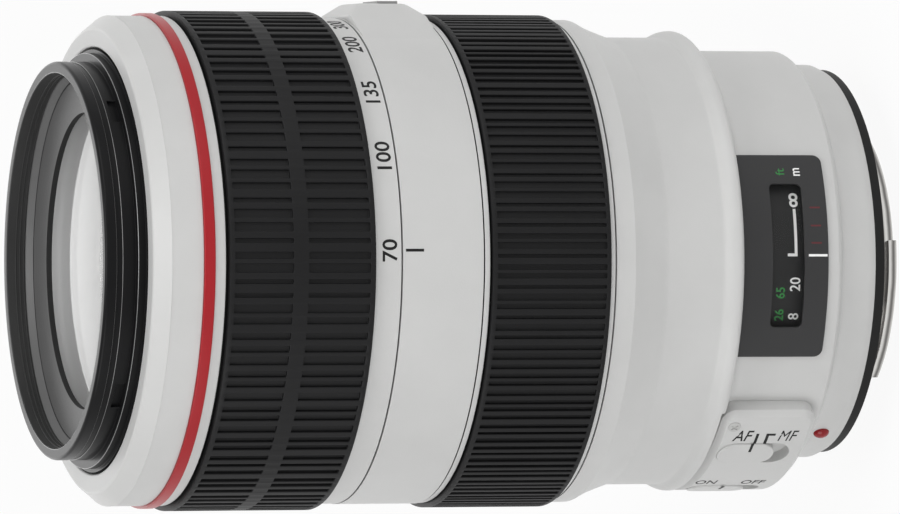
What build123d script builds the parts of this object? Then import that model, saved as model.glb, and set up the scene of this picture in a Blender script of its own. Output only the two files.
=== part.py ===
from build123d import *
from math import cos, degrees, radians, sin, sqrt
import os

os.makedirs("parts", exist_ok=True)

# A telephoto zoom lens for a single-lens reflex camera, in millimetres and degrees.
# Heights run along the optical axis, forwards from the mount face, which is at zero.
# A side angle runs round that axis from the top of the lens, where the distance window
# is (the -Y side), towards +X. Every other angle is the usual one from +X.

# Clearances
overrun = 1.0
seat_gap = 0.02
slide_gap = 0.1
ring_gap = 0.1
roller_gap = 0.05
wall_gap = 0.3

# Lengths of the outer rings, from the mount to the front rim
gasket_height = 1.1
housing_length = 25.5
barrel_length = 25.6
focus_ring_length = 24.3
center_collar_length = 14.75
zoom_ring_length = 31.95
front_collar_length = 12.5
front_barrel_length = 6.9

# Bayonet mount
throat_radius = 22.4
bayonet_tube_wall = 2.5
register_radius = 26.95
register_length = 1.5
flange_edge = 2.3
flange_thickness = 1.8
lug_radius = 26.6
lug_thickness = 1.5
lug_clearance = 2.8
lug_count = 3
lug_arc = 60
first_lug_angle = -22
gasket_wall = 1.38
gasket_lip = 0.7

# Rear baffle and electrical contacts
baffle_thickness = 1.0
baffle_depth = 1.5
baffle_side_edge = 5.9
baffle_top_edge = 8.9
baffle_corner = 5.0
contact_block_arc = 96
contact_block_thickness = 2.9
contact_block_wall = 4.6
contact_count = 9
contact_pitch = 9.5
contact_radius = 0.85
contact_stand = 0.3

# Tubes from the optical axis outwards
inner_barrel_bore = 31.5
inner_barrel_wall = 1.7
focus_cam_wall = 0.7
telescope_gap = 1.0
extension_wall = 1.5
guide_wall = 1.2
cam_wall = 1.2
sleeve_wall = 1.1
focus_core_wall = 2.0
focus_grip_height = 1.7
zoom_core_wall = 3.3
zoom_grip_height = 2.0
shoulder_step = 0.9

# Rear scale housing
housing_wall = 1.5
housing_step_height = 7.2
housing_step_length = 1.9
housing_step_drop = 2.4
skirt_wall = 1.58
rear_wall_thickness = 2.2
rear_wall_bore = 24.0

# Main barrel
barrel_shoulder_length = 3.5
barrel_taper_length = 7.3
tripod_seat_length = 9.9
tripod_seat_wall = 1.95
rim_height = 1.2
rim_setback = 1.4
rim_round = 1.5
lip_thickness = 1.0
cavity_depth = 8.0

# Distance window
window_arc = 38.8
window_length = 6.0
window_front_gap = 5.0
window_corner = 1.0
window_plate_arc = 55.6
window_plate_length = 15.4
window_plate_thickness = 0.45
window_plate_corner = 2.5
window_ledge = 0.9
glass_thickness = 0.8
window_angle = 1.5

# Switch panel and its three switches
panel_height = 3.4
panel_start_angle = -122
panel_arc = 81
panel_length = 16.1
panel_front_overlap = 1.4
panel_corner = 2.6
panel_chamfer = 1.0
switch_angles = (-56.3, -81.7, -107)
switch_slot_length = 13.5
switch_slot_width = 6.3
switch_slot_depth = 2.0
switch_slot_rear = 2.9
switch_travel = 2.9
switch_proud = 0.3

# Focus ring
focus_edge = 1.1
focus_rib_count = 153
rib_depth = 0.6
focus_groove_width = 0.7

# Center collar and zoom lock
collar_proud = 0.1
boss_angle = 90
boss_rise = 2.5
boss_top_length = 10.2
boss_top_width = 17.0
boss_base_width = 27.0
lever_length = 3.8
lever_width = 9.0
lever_travel = 2.8
lever_depth = 1.2
lever_proud = 0.4
lever_play = 0.1
lever_rib_count = 3
lever_rib_end = 0.3
lever_rib_width = 0.5
lever_rib_depth = 0.25

# Zoom ring
scale_band_length = 5.05
zoom_rib_count = 117
zoom_groove_width = 0.45
zoom_plain_start = 13.0
zoom_plain_length = 3.5
zoom_plain_drop = 0.35
zoom_key_count = 3
zoom_key_radius = 1.3
zoom_key_setback = 4.0
zoom_key_start = 30

# Front collar and its red ring
collar_step = 0.18
collar_face_drop = 2.3
collar_chamfer_length = 2.6
collar_edge_drop = 0.2
red_band_length = 2.05
red_band_height = 0.5
red_band_seat = 0.6
front_white_length = 1.9
collar_hollow_wall = 1.6
collar_hollow_depth = 7.0
seal_length = 2.0
seal_setback = 0.9

# Front barrel with the filter thread
thread_wall = 2.05
rim_groove_setback = 2.1
rim_groove_length = 1.0
rim_groove_depth = 0.2
hood_step = 1.55
front_step_length = 1.4
base_ring_wall = 1.0
base_ring_step = 0.65
base_ring_depth = 0.7
thread_length = 4.8
spigot_length = 10.0
spigot_wall = 2.78
element_ledge = 1.6
hood_notch_angles = (48, -42, 180)
hood_notch_arc = 9
hood_notch_depth = 0.6
hood_notch_length = 1.6
retainer_depth = 3.0
retainer_width = 3.7
retainer_lip = 0.7

# Zoom cam, all three groups
zoom_turn = 73
zoom_travel = 53.0
relay_travel = 18.0
variator_travel = 12.0
roller_radius = 2.0
roller_post_radius = 1.2
roller_count = 3
extension_roller_angle = 0
relay_roller_angle = 40
variator_roller_angle = 80
extension_roller_setback = 5.5
cam_front_setback = 1.5
slot_end_relief = 0.03

# Relay group and iris
relay_rear_gap = 2.0
relay_length = 15.5
relay_roller_setback = 8.0
group_wall = 2.4
relay_wall_margin = 4.0
relay_web_thickness = 2.0
relay_web_setback = 3.9
relay_hub_bore = 13.0
relay_hub_wall = 2.6
iris_blade_count = 8
blade_pin_arm = 4.0
blade_width = 7.1
blade_pivot_edge = 1.7
blade_pin_edge = 1.3
blade_reach = 74
blade_tail = 3
blade_thickness = 0.12
blade_pitch = 0.2
blade_turn = 25
blade_lug_width = 2.6
blade_pivot_pin_radius = 0.6
blade_pivot_pin_depth = 0.8
blade_drive_pin_radius = 0.5
iris_ring_thickness = 1.3
iris_bore_edge = 1.8
iris_cell_wall = 5.7
iris_slot_play = 0.5
iris_ring_seat = 1.6

# Variator group
variator_rear_gap = 10.5
variator_length = 12.0
variator_web_thickness = 2.0
variator_hub_bore = 18.0
variator_hub_wall = 2.5

# Focus drive and focus group
focus_turn = 115
focus_travel = 6.0
focus_roller_angle = 20
focus_roller_radius = 1.5
focus_roller_stand = 0.3
focus_cell_length = 8.0
focus_cell_wall = 2.0
focus_hub_bore = 15.0
focus_hub_wall = 2.0
focus_web_thickness = 1.6
focus_rear_gap = 2.5
motor_wall = 4.2
motor_seat_gap = 0.05
stator_length = 5.5
rotor_length = 4.4
stator_tooth_count = 72
stator_tooth_gap = 0.6
stator_tooth_depth = 1.6
drum_wall = 0.7
drum_gap = 1.4
drum_flange_thickness = 1.0
drum_rear_gap = 0.78

# Inner barrel, rear group and circuit board
foot_thickness = 2.0
board_thickness = 1.0
board_gap = 0.02
board_break_arc = 60
rear_cell_length = 15.0
rear_cell_setback = 1.0
rear_cell_flange = 2.0
rear_hub_bore = 17.0
rear_hub_wall = 2.0

# Image stabilizer
stabilizer_rear_gap = 2.0
stabilizer_length = 13.0
stabilizer_floor = 2.0
stabilizer_wall = 1.9
stabilizer_bore = 14.5
stabilizer_play = 0.05
stabilizer_shift = 0.8
carriage_radius = 27.6
carriage_thickness = 2.6
lens_frame_radius = 24.0
lens_frame_thickness = 3.6
lens_frame_bore = 13.5
rail_length = 14.0
rail_width = 1.6
rail_height = 1.0
rail_offset = 21.0

# Glass elements of each group: the rear and front edges as shares of the group's length,
# then the rear and front bulges as shares of its radius
front_glass_shares = (
    (0.0, 0.15, 0.025, 0.056),
    (0.54, 0.683, -0.031, 0.121),
    (0.687, 1.0, 0.121, 0.09),
)
variator_glass_shares = (
    (0.04, 0.28, 0.04, -0.02),
    (0.4, 0.62, -0.06, -0.04),
    (0.74, 0.96, -0.04, 0.05),
)
relay_glass_shares = (
    (0.03, 0.18, -0.08, 0.1),
    (0.4, 0.55, -0.04, 0.06),
    (0.75, 0.92, -0.06, 0.03),
)
focus_glass_shares = (
    (0.02, 0.32, 0.04, 0.1),
    (0.66, 0.94, -0.05, 0.03),
)
stabilizer_glass_shares = (
    (0.15, 0.75, 0.03, 0.06),
)
rear_glass_shares = (
    (0.0, 0.2, -0.1, 0.06),
    (0.42, 0.62, 0.05, 0.1),
    (0.8, 0.97, -0.05, 0.05),
)

# Stations along the axis
housing_front = gasket_height + housing_length
barrel_front = housing_front + barrel_length
focus_rear = barrel_front + ring_gap
focus_front = focus_rear + focus_ring_length
collar_rear = focus_front + ring_gap
collar_front = collar_rear + center_collar_length
zoom_rear = collar_front + ring_gap
zoom_front = zoom_rear + zoom_ring_length
nose_rear = zoom_front + ring_gap
nose_front = nose_rear + front_collar_length
rim_front = nose_front + front_barrel_length
rear_wall_front = flange_thickness + rear_wall_thickness

# Radii of the nested tubes
inner_barrel_radius = inner_barrel_bore + inner_barrel_wall
focus_cam_bore = inner_barrel_radius + slide_gap
focus_cam_radius = focus_cam_bore + focus_cam_wall
extension_bore = focus_cam_radius + telescope_gap
extension_radius = extension_bore + extension_wall
guide_bore = extension_radius + slide_gap
guide_radius = guide_bore + guide_wall
cam_bore = guide_radius + slide_gap
cam_radius = cam_bore + cam_wall
sleeve_bore = cam_radius + slide_gap
sleeve_radius = sleeve_bore + sleeve_wall
focus_bore = sleeve_radius + slide_gap
focus_core_radius = focus_bore + focus_core_wall
focus_grip_radius = focus_core_radius + focus_grip_height
barrel_radius = focus_core_radius + shoulder_step
zoom_bore = cam_radius + seat_gap
zoom_core_radius = zoom_bore + zoom_core_wall
zoom_grip_radius = zoom_core_radius + zoom_grip_height
scale_band_radius = zoom_core_radius + shoulder_step
collar_radius = scale_band_radius + collar_step
collar_face_radius = collar_radius - collar_face_drop
motor_bore = focus_cam_radius + seat_gap
motor_radius = motor_bore + motor_wall
tripod_seat_radius = motor_radius + motor_seat_gap + tripod_seat_wall
drum_bore = focus_cam_radius + drum_gap
drum_radius = drum_bore + drum_wall
housing_bore = drum_radius + wall_gap
housing_radius = housing_bore + housing_wall
housing_foot_radius = housing_radius - housing_step_drop
flange_radius = housing_foot_radius - flange_edge
group_radius = extension_bore - wall_gap

# Radii of the front barrel, inwards from the extension barrel that carries it
base_ring_radius = extension_radius + base_ring_wall
front_step_radius = base_ring_radius - base_ring_step
hood_radius = front_step_radius - hood_step
thread_radius = hood_radius - thread_wall
spigot_radius = extension_bore - seat_gap
spigot_bore = spigot_radius - spigot_wall

# Radii of the iris, inwards from the wall of the relay cell
iris_ring_radius = group_radius - iris_cell_wall - slide_gap
iris_seat_radius = iris_ring_radius - iris_ring_seat
blade_pin_radius = iris_seat_radius - blade_pin_edge
blade_pivot_radius = blade_pin_radius - blade_pin_arm
blade_outer_radius = blade_pivot_radius - blade_pivot_edge
blade_inner_radius = blade_outer_radius - blade_width
iris_ring_bore = blade_pivot_radius + iris_bore_edge

# Stations inside the barrel
cavity_floor = barrel_front - cavity_depth
guide_rear = cavity_floor - lip_thickness * 2
lip_rear = guide_rear - lip_thickness
stator_rear = lip_rear - stator_length
rotor_rear = stator_rear - ring_gap - rotor_length
drum_flange_rear = rotor_rear - drum_flange_thickness
extension_rear = cavity_floor + wall_gap
extension_roller_height = extension_rear + extension_roller_setback
seal_front = nose_front - seal_setback
seal_rear = seal_front - seal_length
extension_front = nose_front - base_ring_depth
rear_cell_rear = rear_wall_front + rear_cell_setback
rear_cell_front = rear_cell_rear + rear_cell_length
stabilizer_rear = rear_cell_front + stabilizer_rear_gap
stabilizer_front = stabilizer_rear + stabilizer_length
focus_cell_rear = stabilizer_front + focus_rear_gap
focus_cell_front = focus_cell_rear + focus_cell_length
focus_roller_height = focus_cell_rear + focus_cell_length / 2
inner_barrel_front = focus_cell_front + focus_travel + wall_gap
relay_rear = inner_barrel_front + relay_rear_gap
relay_front = relay_rear + relay_length
relay_roller_height = relay_rear + relay_roller_setback
variator_rear = relay_front + variator_rear_gap
variator_front = variator_rear + variator_length
variator_roller_height = variator_rear + variator_length / 2
thread_rear = rim_front - thread_length


def side_plane(side_angle, radius, height):
    """A plane that touches a tube at a side angle, its X round the tube and its Y forwards."""
    turn = radians(side_angle)
    outward = (sin(turn), -cos(turn), 0)
    place = (radius * sin(turn), -radius * cos(turn), height)
    return Plane(origin=place, x_dir=(cos(turn), sin(turn), 0), z_dir=outward)


def axial_plane(angle):
    """The plane through the optical axis whose X points outwards at the given angle."""
    turn = radians(angle)
    return Plane(origin=(0, 0, 0), x_dir=(cos(turn), sin(turn), 0), z_dir=(sin(turn), -cos(turn), 0))


def tube(bore, radius, rear, front):
    """A plain turned ring between two heights."""
    with BuildPart() as ring:
        with BuildSketch(Plane.XY.offset(rear)):
            Circle(radius)
            Circle(bore, mode=Mode.SUBTRACT)
        extrude(amount=front - rear)
    return ring.part


def sector(bore, radius, rear, front, start_angle, arc, corner=0):
    """A piece of a tube wall, with its four corners rounded in plan."""
    with BuildPart() as piece:
        with BuildSketch(axial_plane(start_angle)):
            with Locations(((bore + radius) / 2, (rear + front) / 2)):
                Rectangle(radius - bore, front - rear)
        revolve(axis=Axis.Z, revolution_arc=arc)
        if corner > 0:
            fillet(piece.edges().filter_by(GeomType.LINE).filter_by(Axis.Z, reverse=True), radius=corner)
    return piece.part


def glass(rear, front, radius, rear_bulge, front_bulge):
    """One lens element: its edge lies between two heights, and a bulge is how far the
    middle of a face stands forward of that face's edge."""
    with BuildPart() as element:
        with BuildSketch(Plane.XZ):
            with BuildLine():
                TangentArc((0, front + front_bulge), (radius, front), tangent=(1, 0))
                Line((radius, front), (radius, rear))
                TangentArc((0, rear + rear_bulge), (radius, rear), tangent=(1, 0))
                Line((0, rear + rear_bulge), (0, front + front_bulge))
            make_face()
        revolve(axis=Axis.Z)
    return element.part


def glass_group(rear, front, radius, shares):
    """The elements of one group between two heights, from a table of shares."""
    length = front - rear
    with BuildPart() as stack:
        for rear_edge, front_edge, rear_bulge, front_bulge in shares:
            add(
                glass(
                    rear + rear_edge * length,
                    rear + front_edge * length,
                    radius,
                    rear_bulge * radius,
                    front_bulge * radius,
                )
            )
    return stack.part


def straight_slots(first_angle, rear, front, radius, wall, half_width):
    """Cutters for the straight guide slots of one group's three rollers."""
    with BuildPart() as cutters:
        for turn in range(roller_count):
            side = first_angle + turn * 360 / roller_count + 90
            with BuildSketch(side_plane(side, radius, (rear + front) / 2)):
                SlotCenterToCenter(front - rear, half_width * 2, rotation=90)
            extrude(amount=wall, both=True)
    return cutters.part


def cam_slots(first_angle, turn_angle, rear, travel, radius, wall, half_width):
    """Cutters for the helical slots that push one group's rollers. The slot climbs by the
    travel while it goes round by the turn angle, and its ends are round."""
    with BuildPart() as bar:
        with BuildLine() as helix:
            Helix(
                pitch=travel * 360 / abs(turn_angle),
                height=travel,
                radius=radius,
                center=(0, 0, rear),
                lefthand=turn_angle < 0,
            )
        start = helix.line @ 0
        with BuildSketch(Plane(origin=start, x_dir=(1, 0, 0), z_dir=helix.line % 0)):
            Rectangle(wall + overrun, half_width * 2)
        sweep(is_frenet=True)
    cutters = []
    for share in (0, 1):
        end = helix.line @ share
        with BuildPart() as round_end:
            with BuildSketch(Plane(origin=end, z_dir=(end.X, end.Y, 0))):
                Circle(half_width + slot_end_relief)
            extrude(amount=wall, both=True)
        for turn in range(roller_count):
            cutters.append(round_end.part.rotate(Axis.Z, first_angle + turn * 360 / roller_count))
    for turn in range(roller_count):
        cutters.append(bar.part.rotate(Axis.Z, first_angle + turn * 360 / roller_count))
    return cutters


def rollers(first_angle, height, post_start, post_end, roller_start, roller_end, radius, post):
    """Three cam rollers on their posts, round the axis at one height."""
    with BuildPart() as group:
        for turn in range(roller_count):
            side = first_angle + turn * 360 / roller_count + 90
            with BuildSketch(side_plane(side, post_start, height)):
                Circle(post)
            extrude(amount=post_end - post_start)
            with BuildSketch(side_plane(side, roller_start, height)):
                Circle(radius)
            extrude(amount=roller_end - roller_start)
    return group.part


def post_holes(first_angle, height, inside, outside, radius, count=roller_count):
    """Radial holes through a tube wall, round the axis at one height."""
    with BuildPart() as holes:
        for turn in range(count):
            side = first_angle + turn * 360 / count + 90
            with BuildSketch(side_plane(side, inside, height)):
                Circle(radius)
            extrude(amount=outside - inside)
    return holes.part


# Bayonet mount: a turned steel ring, with a tube and three lugs behind the mount face
tube_rear = -(register_length + lug_clearance + lug_thickness)
bayonet_tube_radius = throat_radius + bayonet_tube_wall
lug_rear = tube_rear
lug_front = lug_rear + lug_thickness
with BuildPart() as bayonet_mount:
    with BuildSketch(Plane.XZ):
        with BuildLine():
            Polyline(
                (throat_radius, tube_rear),
                (bayonet_tube_radius, tube_rear),
                (bayonet_tube_radius, -register_length),
                (register_radius, -register_length),
                (register_radius, 0),
                (flange_radius, 0),
                (flange_radius, flange_thickness),
                (throat_radius, flange_thickness),
                close=True,
            )
        make_face()
    revolve(axis=Axis.Z)
    for lug in range(lug_count):
        lug_start = first_lug_angle - 90 - lug_arc / 2 + lug * 360 / lug_count
        add(sector(bayonet_tube_radius - seat_gap, lug_radius, lug_rear, lug_front, lug_start, lug_arc))
bayonet_mount.part.label = "bayonet_mount"
export_step(bayonet_mount.part, "parts/bayonet_mount.step")

# Rubber gasket round the mount face, with a thin lip that meets the camera body
gasket_bore = flange_radius + seat_gap
gasket_radius = gasket_bore + gasket_wall
with BuildPart() as mount_gasket:
    with BuildSketch(Plane.XZ):
        with BuildLine():
            Polyline(
                (gasket_bore, 0),
                (gasket_bore, gasket_height),
                (gasket_radius, gasket_height),
                (gasket_radius, -gasket_lip),
                (gasket_radius - gasket_wall / 2, -gasket_lip),
                close=True,
            )
        make_face()
    revolve(axis=Axis.Z)
mount_gasket.part.label = "mount_gasket"
export_step(mount_gasket.part, "parts/mount_gasket.step")

# Rear baffle: a black plate in the throat, with the usual window-shaped opening
baffle_front = -baffle_depth
baffle_rear = baffle_front - baffle_thickness
baffle_radius = throat_radius - seat_gap
baffle_opening_width = 2 * (throat_radius - baffle_side_edge)
baffle_opening_height = 2 * (throat_radius - baffle_top_edge)
with BuildPart() as rear_baffle:
    with BuildSketch(Plane.XY.offset(baffle_rear)):
        Circle(baffle_radius)
        RectangleRounded(baffle_opening_width, baffle_opening_height, baffle_corner, mode=Mode.SUBTRACT)
    extrude(amount=baffle_thickness)
rear_baffle.part.label = "rear_baffle"
export_step(rear_baffle.part, "parts/rear_baffle.step")

# Contact block: a moulded arc on the baffle, on the side away from the distance window
contact_block_front = baffle_rear
contact_block_rear = contact_block_front - contact_block_thickness
contact_block_bore = baffle_radius - contact_block_wall
contact_ring_radius = baffle_radius - contact_block_wall / 2
contact_angles = [90 + contact_pitch * (n - (contact_count - 1) / 2) for n in range(contact_count)]
with BuildPart() as contact_block:
    add(
        sector(
            contact_block_bore,
            baffle_radius,
            contact_block_rear,
            contact_block_front,
            90 - contact_block_arc / 2,
            contact_block_arc,
        )
    )
    for angle in contact_angles:
        place = Vector(contact_ring_radius, 0, contact_block_rear).rotate(Axis.Z, angle)
        with BuildSketch(Plane(origin=place)):
            Circle(contact_radius + seat_gap)
        extrude(amount=contact_block_thickness / 2, mode=Mode.SUBTRACT)
contact_block.part.label = "contact_block"
export_step(contact_block.part, "parts/contact_block.step")

# Contact pins: gold-plated, domed at the end that touches the camera's contacts
with BuildPart() as contact_pins:
    for angle in contact_angles:
        place = Vector(contact_ring_radius, 0, contact_block_rear - contact_stand).rotate(Axis.Z, angle)
        with BuildSketch(Plane(origin=place)):
            Circle(contact_radius)
        extrude(amount=contact_block_thickness / 2 + contact_stand)
    fillet(contact_pins.edges().group_by(Axis.Z)[0], radius=contact_stand)
contact_pins.part.label = "contact_pins"
export_step(contact_pins.part, "parts/contact_pins.step")

# Scale housing: the rear shell of the lens, open under the distance window
skirt_bore = flange_radius + seat_gap
skirt_radius = skirt_bore + skirt_wall
window_rear = housing_front - window_front_gap - window_length
window_center_angle = window_angle - 90
housing_window_arc = window_arc + degrees(2 * window_ledge / housing_radius)
housing_window_start = window_center_angle - housing_window_arc / 2
foot_bore = housing_foot_radius - housing_wall
ledge_height = housing_step_height + housing_step_length + ring_gap
with BuildPart() as scale_housing:
    with BuildSketch(Plane.XZ):
        with BuildLine():
            Polyline(
                (housing_radius, housing_front),
                (housing_bore, housing_front),
                (housing_bore, ledge_height),
                (foot_bore, ledge_height),
                (foot_bore, rear_wall_front),
                (rear_wall_bore, rear_wall_front),
                (rear_wall_bore, flange_thickness),
                (skirt_bore, flange_thickness),
                (skirt_bore, gasket_height),
                (skirt_radius, gasket_height),
                (housing_foot_radius, gasket_height + housing_wall),
                (housing_foot_radius, housing_step_height),
            )
            Bezier(
                (housing_foot_radius, housing_step_height),
                (housing_foot_radius, housing_step_height + housing_step_length / 2),
                (housing_radius - housing_step_drop / 4, housing_step_height + housing_step_length / 4),
                (housing_radius, housing_step_height + housing_step_length),
            )
            Line(
                (housing_radius, housing_step_height + housing_step_length),
                (housing_radius, housing_front),
            )
        make_face()
    revolve(axis=Axis.Z)
    add(
        sector(
            housing_bore - overrun,
            housing_radius + overrun,
            window_rear - window_ledge,
            window_rear + window_length + window_ledge,
            housing_window_start,
            housing_window_arc,
            window_corner,
        ),
        mode=Mode.SUBTRACT,
    )
scale_housing.part.label = "scale_housing"
export_step(scale_housing.part, "parts/scale_housing.step")

# Window glass: a clear pane in the housing's opening, under the black plate
with BuildPart() as window_glass:
    add(
        sector(
            housing_radius - glass_thickness,
            housing_radius - seat_gap,
            window_rear - window_ledge + roller_gap,
            window_rear + window_length + window_ledge - roller_gap,
            housing_window_start + degrees(roller_gap / housing_radius),
            housing_window_arc - degrees(2 * roller_gap / housing_radius),
            window_corner,
        )
    )
window_glass.part.label = "window_glass"
export_step(window_glass.part, "parts/window_glass.step")

# Window plate: the thin black cover that frames the distance window, round at its rear
# corners and square where it meets the main barrel
plate_bore = housing_radius + seat_gap
plate_radius = plate_bore + window_plate_thickness
with BuildPart() as window_plate:
    add(
        sector(
            plate_bore,
            plate_radius,
            housing_front - window_plate_length,
            housing_front - seat_gap,
            window_center_angle - window_plate_arc / 2,
            window_plate_arc,
            window_plate_corner,
        )
    )
    add(
        sector(
            plate_bore,
            plate_radius,
            window_rear + window_length,
            housing_front - seat_gap,
            window_center_angle - window_plate_arc / 2,
            window_plate_arc,
        )
    )
    add(
        sector(
            plate_bore - overrun,
            plate_radius + overrun,
            window_rear,
            window_rear + window_length,
            window_center_angle - window_arc / 2,
            window_arc,
            window_corner,
        ),
        mode=Mode.SUBTRACT,
    )
window_plate.part.label = "window_plate"
export_step(window_plate.part, "parts/window_plate.step")

# Main barrel: one long shell, from the raised rim over the tripod ring's seat and the
# taper to the thin sleeve that carries the focus ring and the center collar
taper_front = barrel_front - barrel_shoulder_length
taper_rise = barrel_radius - tripod_seat_radius
seat_front = taper_front - barrel_taper_length
seat_rear = seat_front - tripod_seat_length
rim_radius = tripod_seat_radius + rim_height
rim_top = housing_front + rim_setback
panel_rear = housing_front - panel_length
panel_front = housing_front + panel_front_overlap
panel_radius = housing_radius + panel_height
with BuildPart() as main_barrel:
    with BuildSketch(Plane.XZ):
        with BuildLine():
            Bezier(
                (housing_radius, housing_front),
                ((housing_radius + rim_radius) / 2, housing_front),
                (rim_radius, housing_front + rim_round / 4),
                (rim_radius, rim_top),
            )
            Bezier(
                (rim_radius, rim_top),
                (rim_radius, (rim_top + seat_rear) / 2),
                (tripod_seat_radius, seat_rear - rim_round),
                (tripod_seat_radius, seat_rear),
            )
            Line((tripod_seat_radius, seat_rear), (tripod_seat_radius, seat_front))
            Bezier(
                (tripod_seat_radius, seat_front),
                (tripod_seat_radius + taper_rise / 4, seat_front + barrel_taper_length / 4),
                (barrel_radius - taper_rise / 2, taper_front - barrel_taper_length / 3),
                (barrel_radius, taper_front),
            )
            Polyline(
                (barrel_radius, taper_front),
                (barrel_radius, barrel_front),
                (sleeve_radius, barrel_front),
                (sleeve_radius, collar_front),
                (sleeve_bore, collar_front),
                (sleeve_bore, cavity_floor),
                (guide_radius + seat_gap, cavity_floor),
                (guide_radius + seat_gap, guide_rear),
                (guide_bore, guide_rear),
                (guide_bore, lip_rear),
                (motor_radius + motor_seat_gap, lip_rear),
                (motor_radius + motor_seat_gap, drum_flange_rear - wall_gap),
                (housing_bore, drum_flange_rear - wall_gap),
                (housing_bore, housing_front),
                (housing_radius, housing_front),
            )
        make_face()
    revolve(axis=Axis.Z)
    add(
        sector(
            housing_radius,
            panel_radius + overrun,
            housing_front - overrun,
            panel_front + seat_gap,
            panel_start_angle - 90 - degrees(seat_gap / housing_radius),
            panel_arc + degrees(2 * seat_gap / housing_radius),
        ),
        mode=Mode.SUBTRACT,
    )
main_barrel.part.label = "main_barrel"
export_step(main_barrel.part, "parts/main_barrel.step")

# Switch panel: a raised pad on the side, with a stadium slot for each switch
switch_slot_front = panel_rear + switch_slot_rear + switch_slot_length
switch_slot_height = panel_rear + switch_slot_rear + switch_slot_length / 2
with BuildPart() as switch_panel:
    add(
        sector(
            housing_radius + seat_gap,
            panel_radius,
            panel_rear,
            panel_front,
            panel_start_angle - 90,
            panel_arc,
            panel_corner,
        )
    )
    outer_face = switch_panel.faces().filter_by(GeomType.CYLINDER).sort_by(SortBy.AREA)[-1]
    chamfer(outer_face.edges(), length=panel_chamfer)
    for side in switch_angles:
        with BuildSketch(side_plane(side, panel_radius + overrun, switch_slot_height)):
            SlotOverall(switch_slot_length, switch_slot_width, rotation=90)
        extrude(amount=-(overrun + switch_slot_depth), mode=Mode.SUBTRACT)
switch_panel.part.label = "switch_panel"
export_step(switch_panel.part, "parts/switch_panel.step")

# Slide switches: low knobs that fill their slots but for the travel
switch_names = ("focus_mode_switch", "stabilizer_switch", "stabilizer_mode_switch")
knob_length = switch_slot_length - switch_travel - 2 * roller_gap
knob_width = switch_slot_width - 2 * roller_gap
knob_height = switch_slot_front - roller_gap - knob_length / 2
for name, side in zip(switch_names, switch_angles):
    with BuildPart() as slide_switch:
        with BuildSketch(side_plane(side, panel_radius + overrun, knob_height)):
            SlotOverall(knob_length, knob_width, rotation=90)
        extrude(amount=-(overrun + switch_slot_depth - roller_gap))
        add(tube(housing_radius, panel_radius + switch_proud, panel_rear, panel_front), mode=Mode.INTERSECT)
    slide_switch.part.label = name
    export_step(slide_switch.part, f"parts/{name}.step")

# Inner barrel: the fixed tube that holds the rear group, the stabilizer and the focus
# group, on a foot that is screwed to the housing's rear wall
foot_radius = foot_bore - seat_gap
with BuildPart() as inner_barrel:
    with BuildSketch(Plane.XZ):
        with BuildLine():
            Polyline(
                (inner_barrel_bore, rear_wall_front),
                (foot_radius, rear_wall_front),
                (foot_radius, rear_wall_front + foot_thickness),
                (inner_barrel_radius, rear_wall_front + foot_thickness),
                (inner_barrel_radius, inner_barrel_front),
                (inner_barrel_bore, inner_barrel_front),
                close=True,
            )
        make_face()
    revolve(axis=Axis.Z)
    add(
        straight_slots(
            focus_roller_angle,
            focus_roller_height,
            focus_roller_height + focus_travel,
            inner_barrel_bore + inner_barrel_wall / 2,
            inner_barrel_wall,
            focus_roller_radius + roller_gap,
        ),
        mode=Mode.SUBTRACT,
    )
inner_barrel.part.label = "inner_barrel"
export_step(inner_barrel.part, "parts/inner_barrel.step")

# Circuit board: a ring on the housing's ledge, round the inner barrel and open on one side
board_rear = ledge_height + board_gap
with BuildPart() as main_circuit_board:
    add(
        sector(
            inner_barrel_radius + seat_gap,
            housing_bore - wall_gap,
            board_rear,
            board_rear + board_thickness,
            90 + board_break_arc / 2,
            360 - board_break_arc,
        )
    )
main_circuit_board.part.label = "main_circuit_board"
export_step(main_circuit_board.part, "parts/main_circuit_board.step")

# Rear group: a fixed cell in the inner barrel, with its glass
rear_hub_radius = rear_hub_bore + rear_hub_wall
with BuildPart() as rear_group_cell:
    with BuildSketch(Plane.XZ):
        with BuildLine():
            Polyline(
                (rear_hub_bore, rear_cell_rear),
                (rear_hub_radius, rear_cell_rear),
                (rear_hub_radius, rear_cell_front - rear_cell_flange),
                (inner_barrel_bore - seat_gap, rear_cell_front - rear_cell_flange),
                (inner_barrel_bore - seat_gap, rear_cell_front),
                (rear_hub_bore, rear_cell_front),
                close=True,
            )
        make_face()
    revolve(axis=Axis.Z)
rear_group_cell.part.label = "rear_group_cell"
export_step(rear_group_cell.part, "parts/rear_group_cell.step")


with BuildPart() as rear_elements:
    add(glass_group(rear_cell_rear, rear_cell_front, rear_hub_bore - seat_gap, rear_glass_shares))
rear_elements.part.label = "rear_elements"
export_step(rear_elements.part, "parts/rear_elements.step")

# Stabilizer housing: a shallow cup with two rails along X
floor_front = stabilizer_rear + stabilizer_floor
with BuildPart() as stabilizer_housing:
    with BuildSketch(Plane.XY.offset(stabilizer_rear)):
        Circle(inner_barrel_bore - seat_gap)
        Circle(stabilizer_bore, mode=Mode.SUBTRACT)
    extrude(amount=stabilizer_floor)
    with BuildSketch(Plane.XY.offset(floor_front)):
        Circle(inner_barrel_bore - seat_gap)
        Circle(inner_barrel_bore - seat_gap - stabilizer_wall, mode=Mode.SUBTRACT)
    extrude(amount=stabilizer_front - floor_front)
    with BuildSketch(Plane.XY.offset(floor_front)):
        with Locations((0, rail_offset), (0, -rail_offset)):
            Rectangle(rail_length, rail_width)
    extrude(amount=rail_height)
stabilizer_housing.part.label = "stabilizer_housing"
export_step(stabilizer_housing.part, "parts/stabilizer_housing.step")

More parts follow.
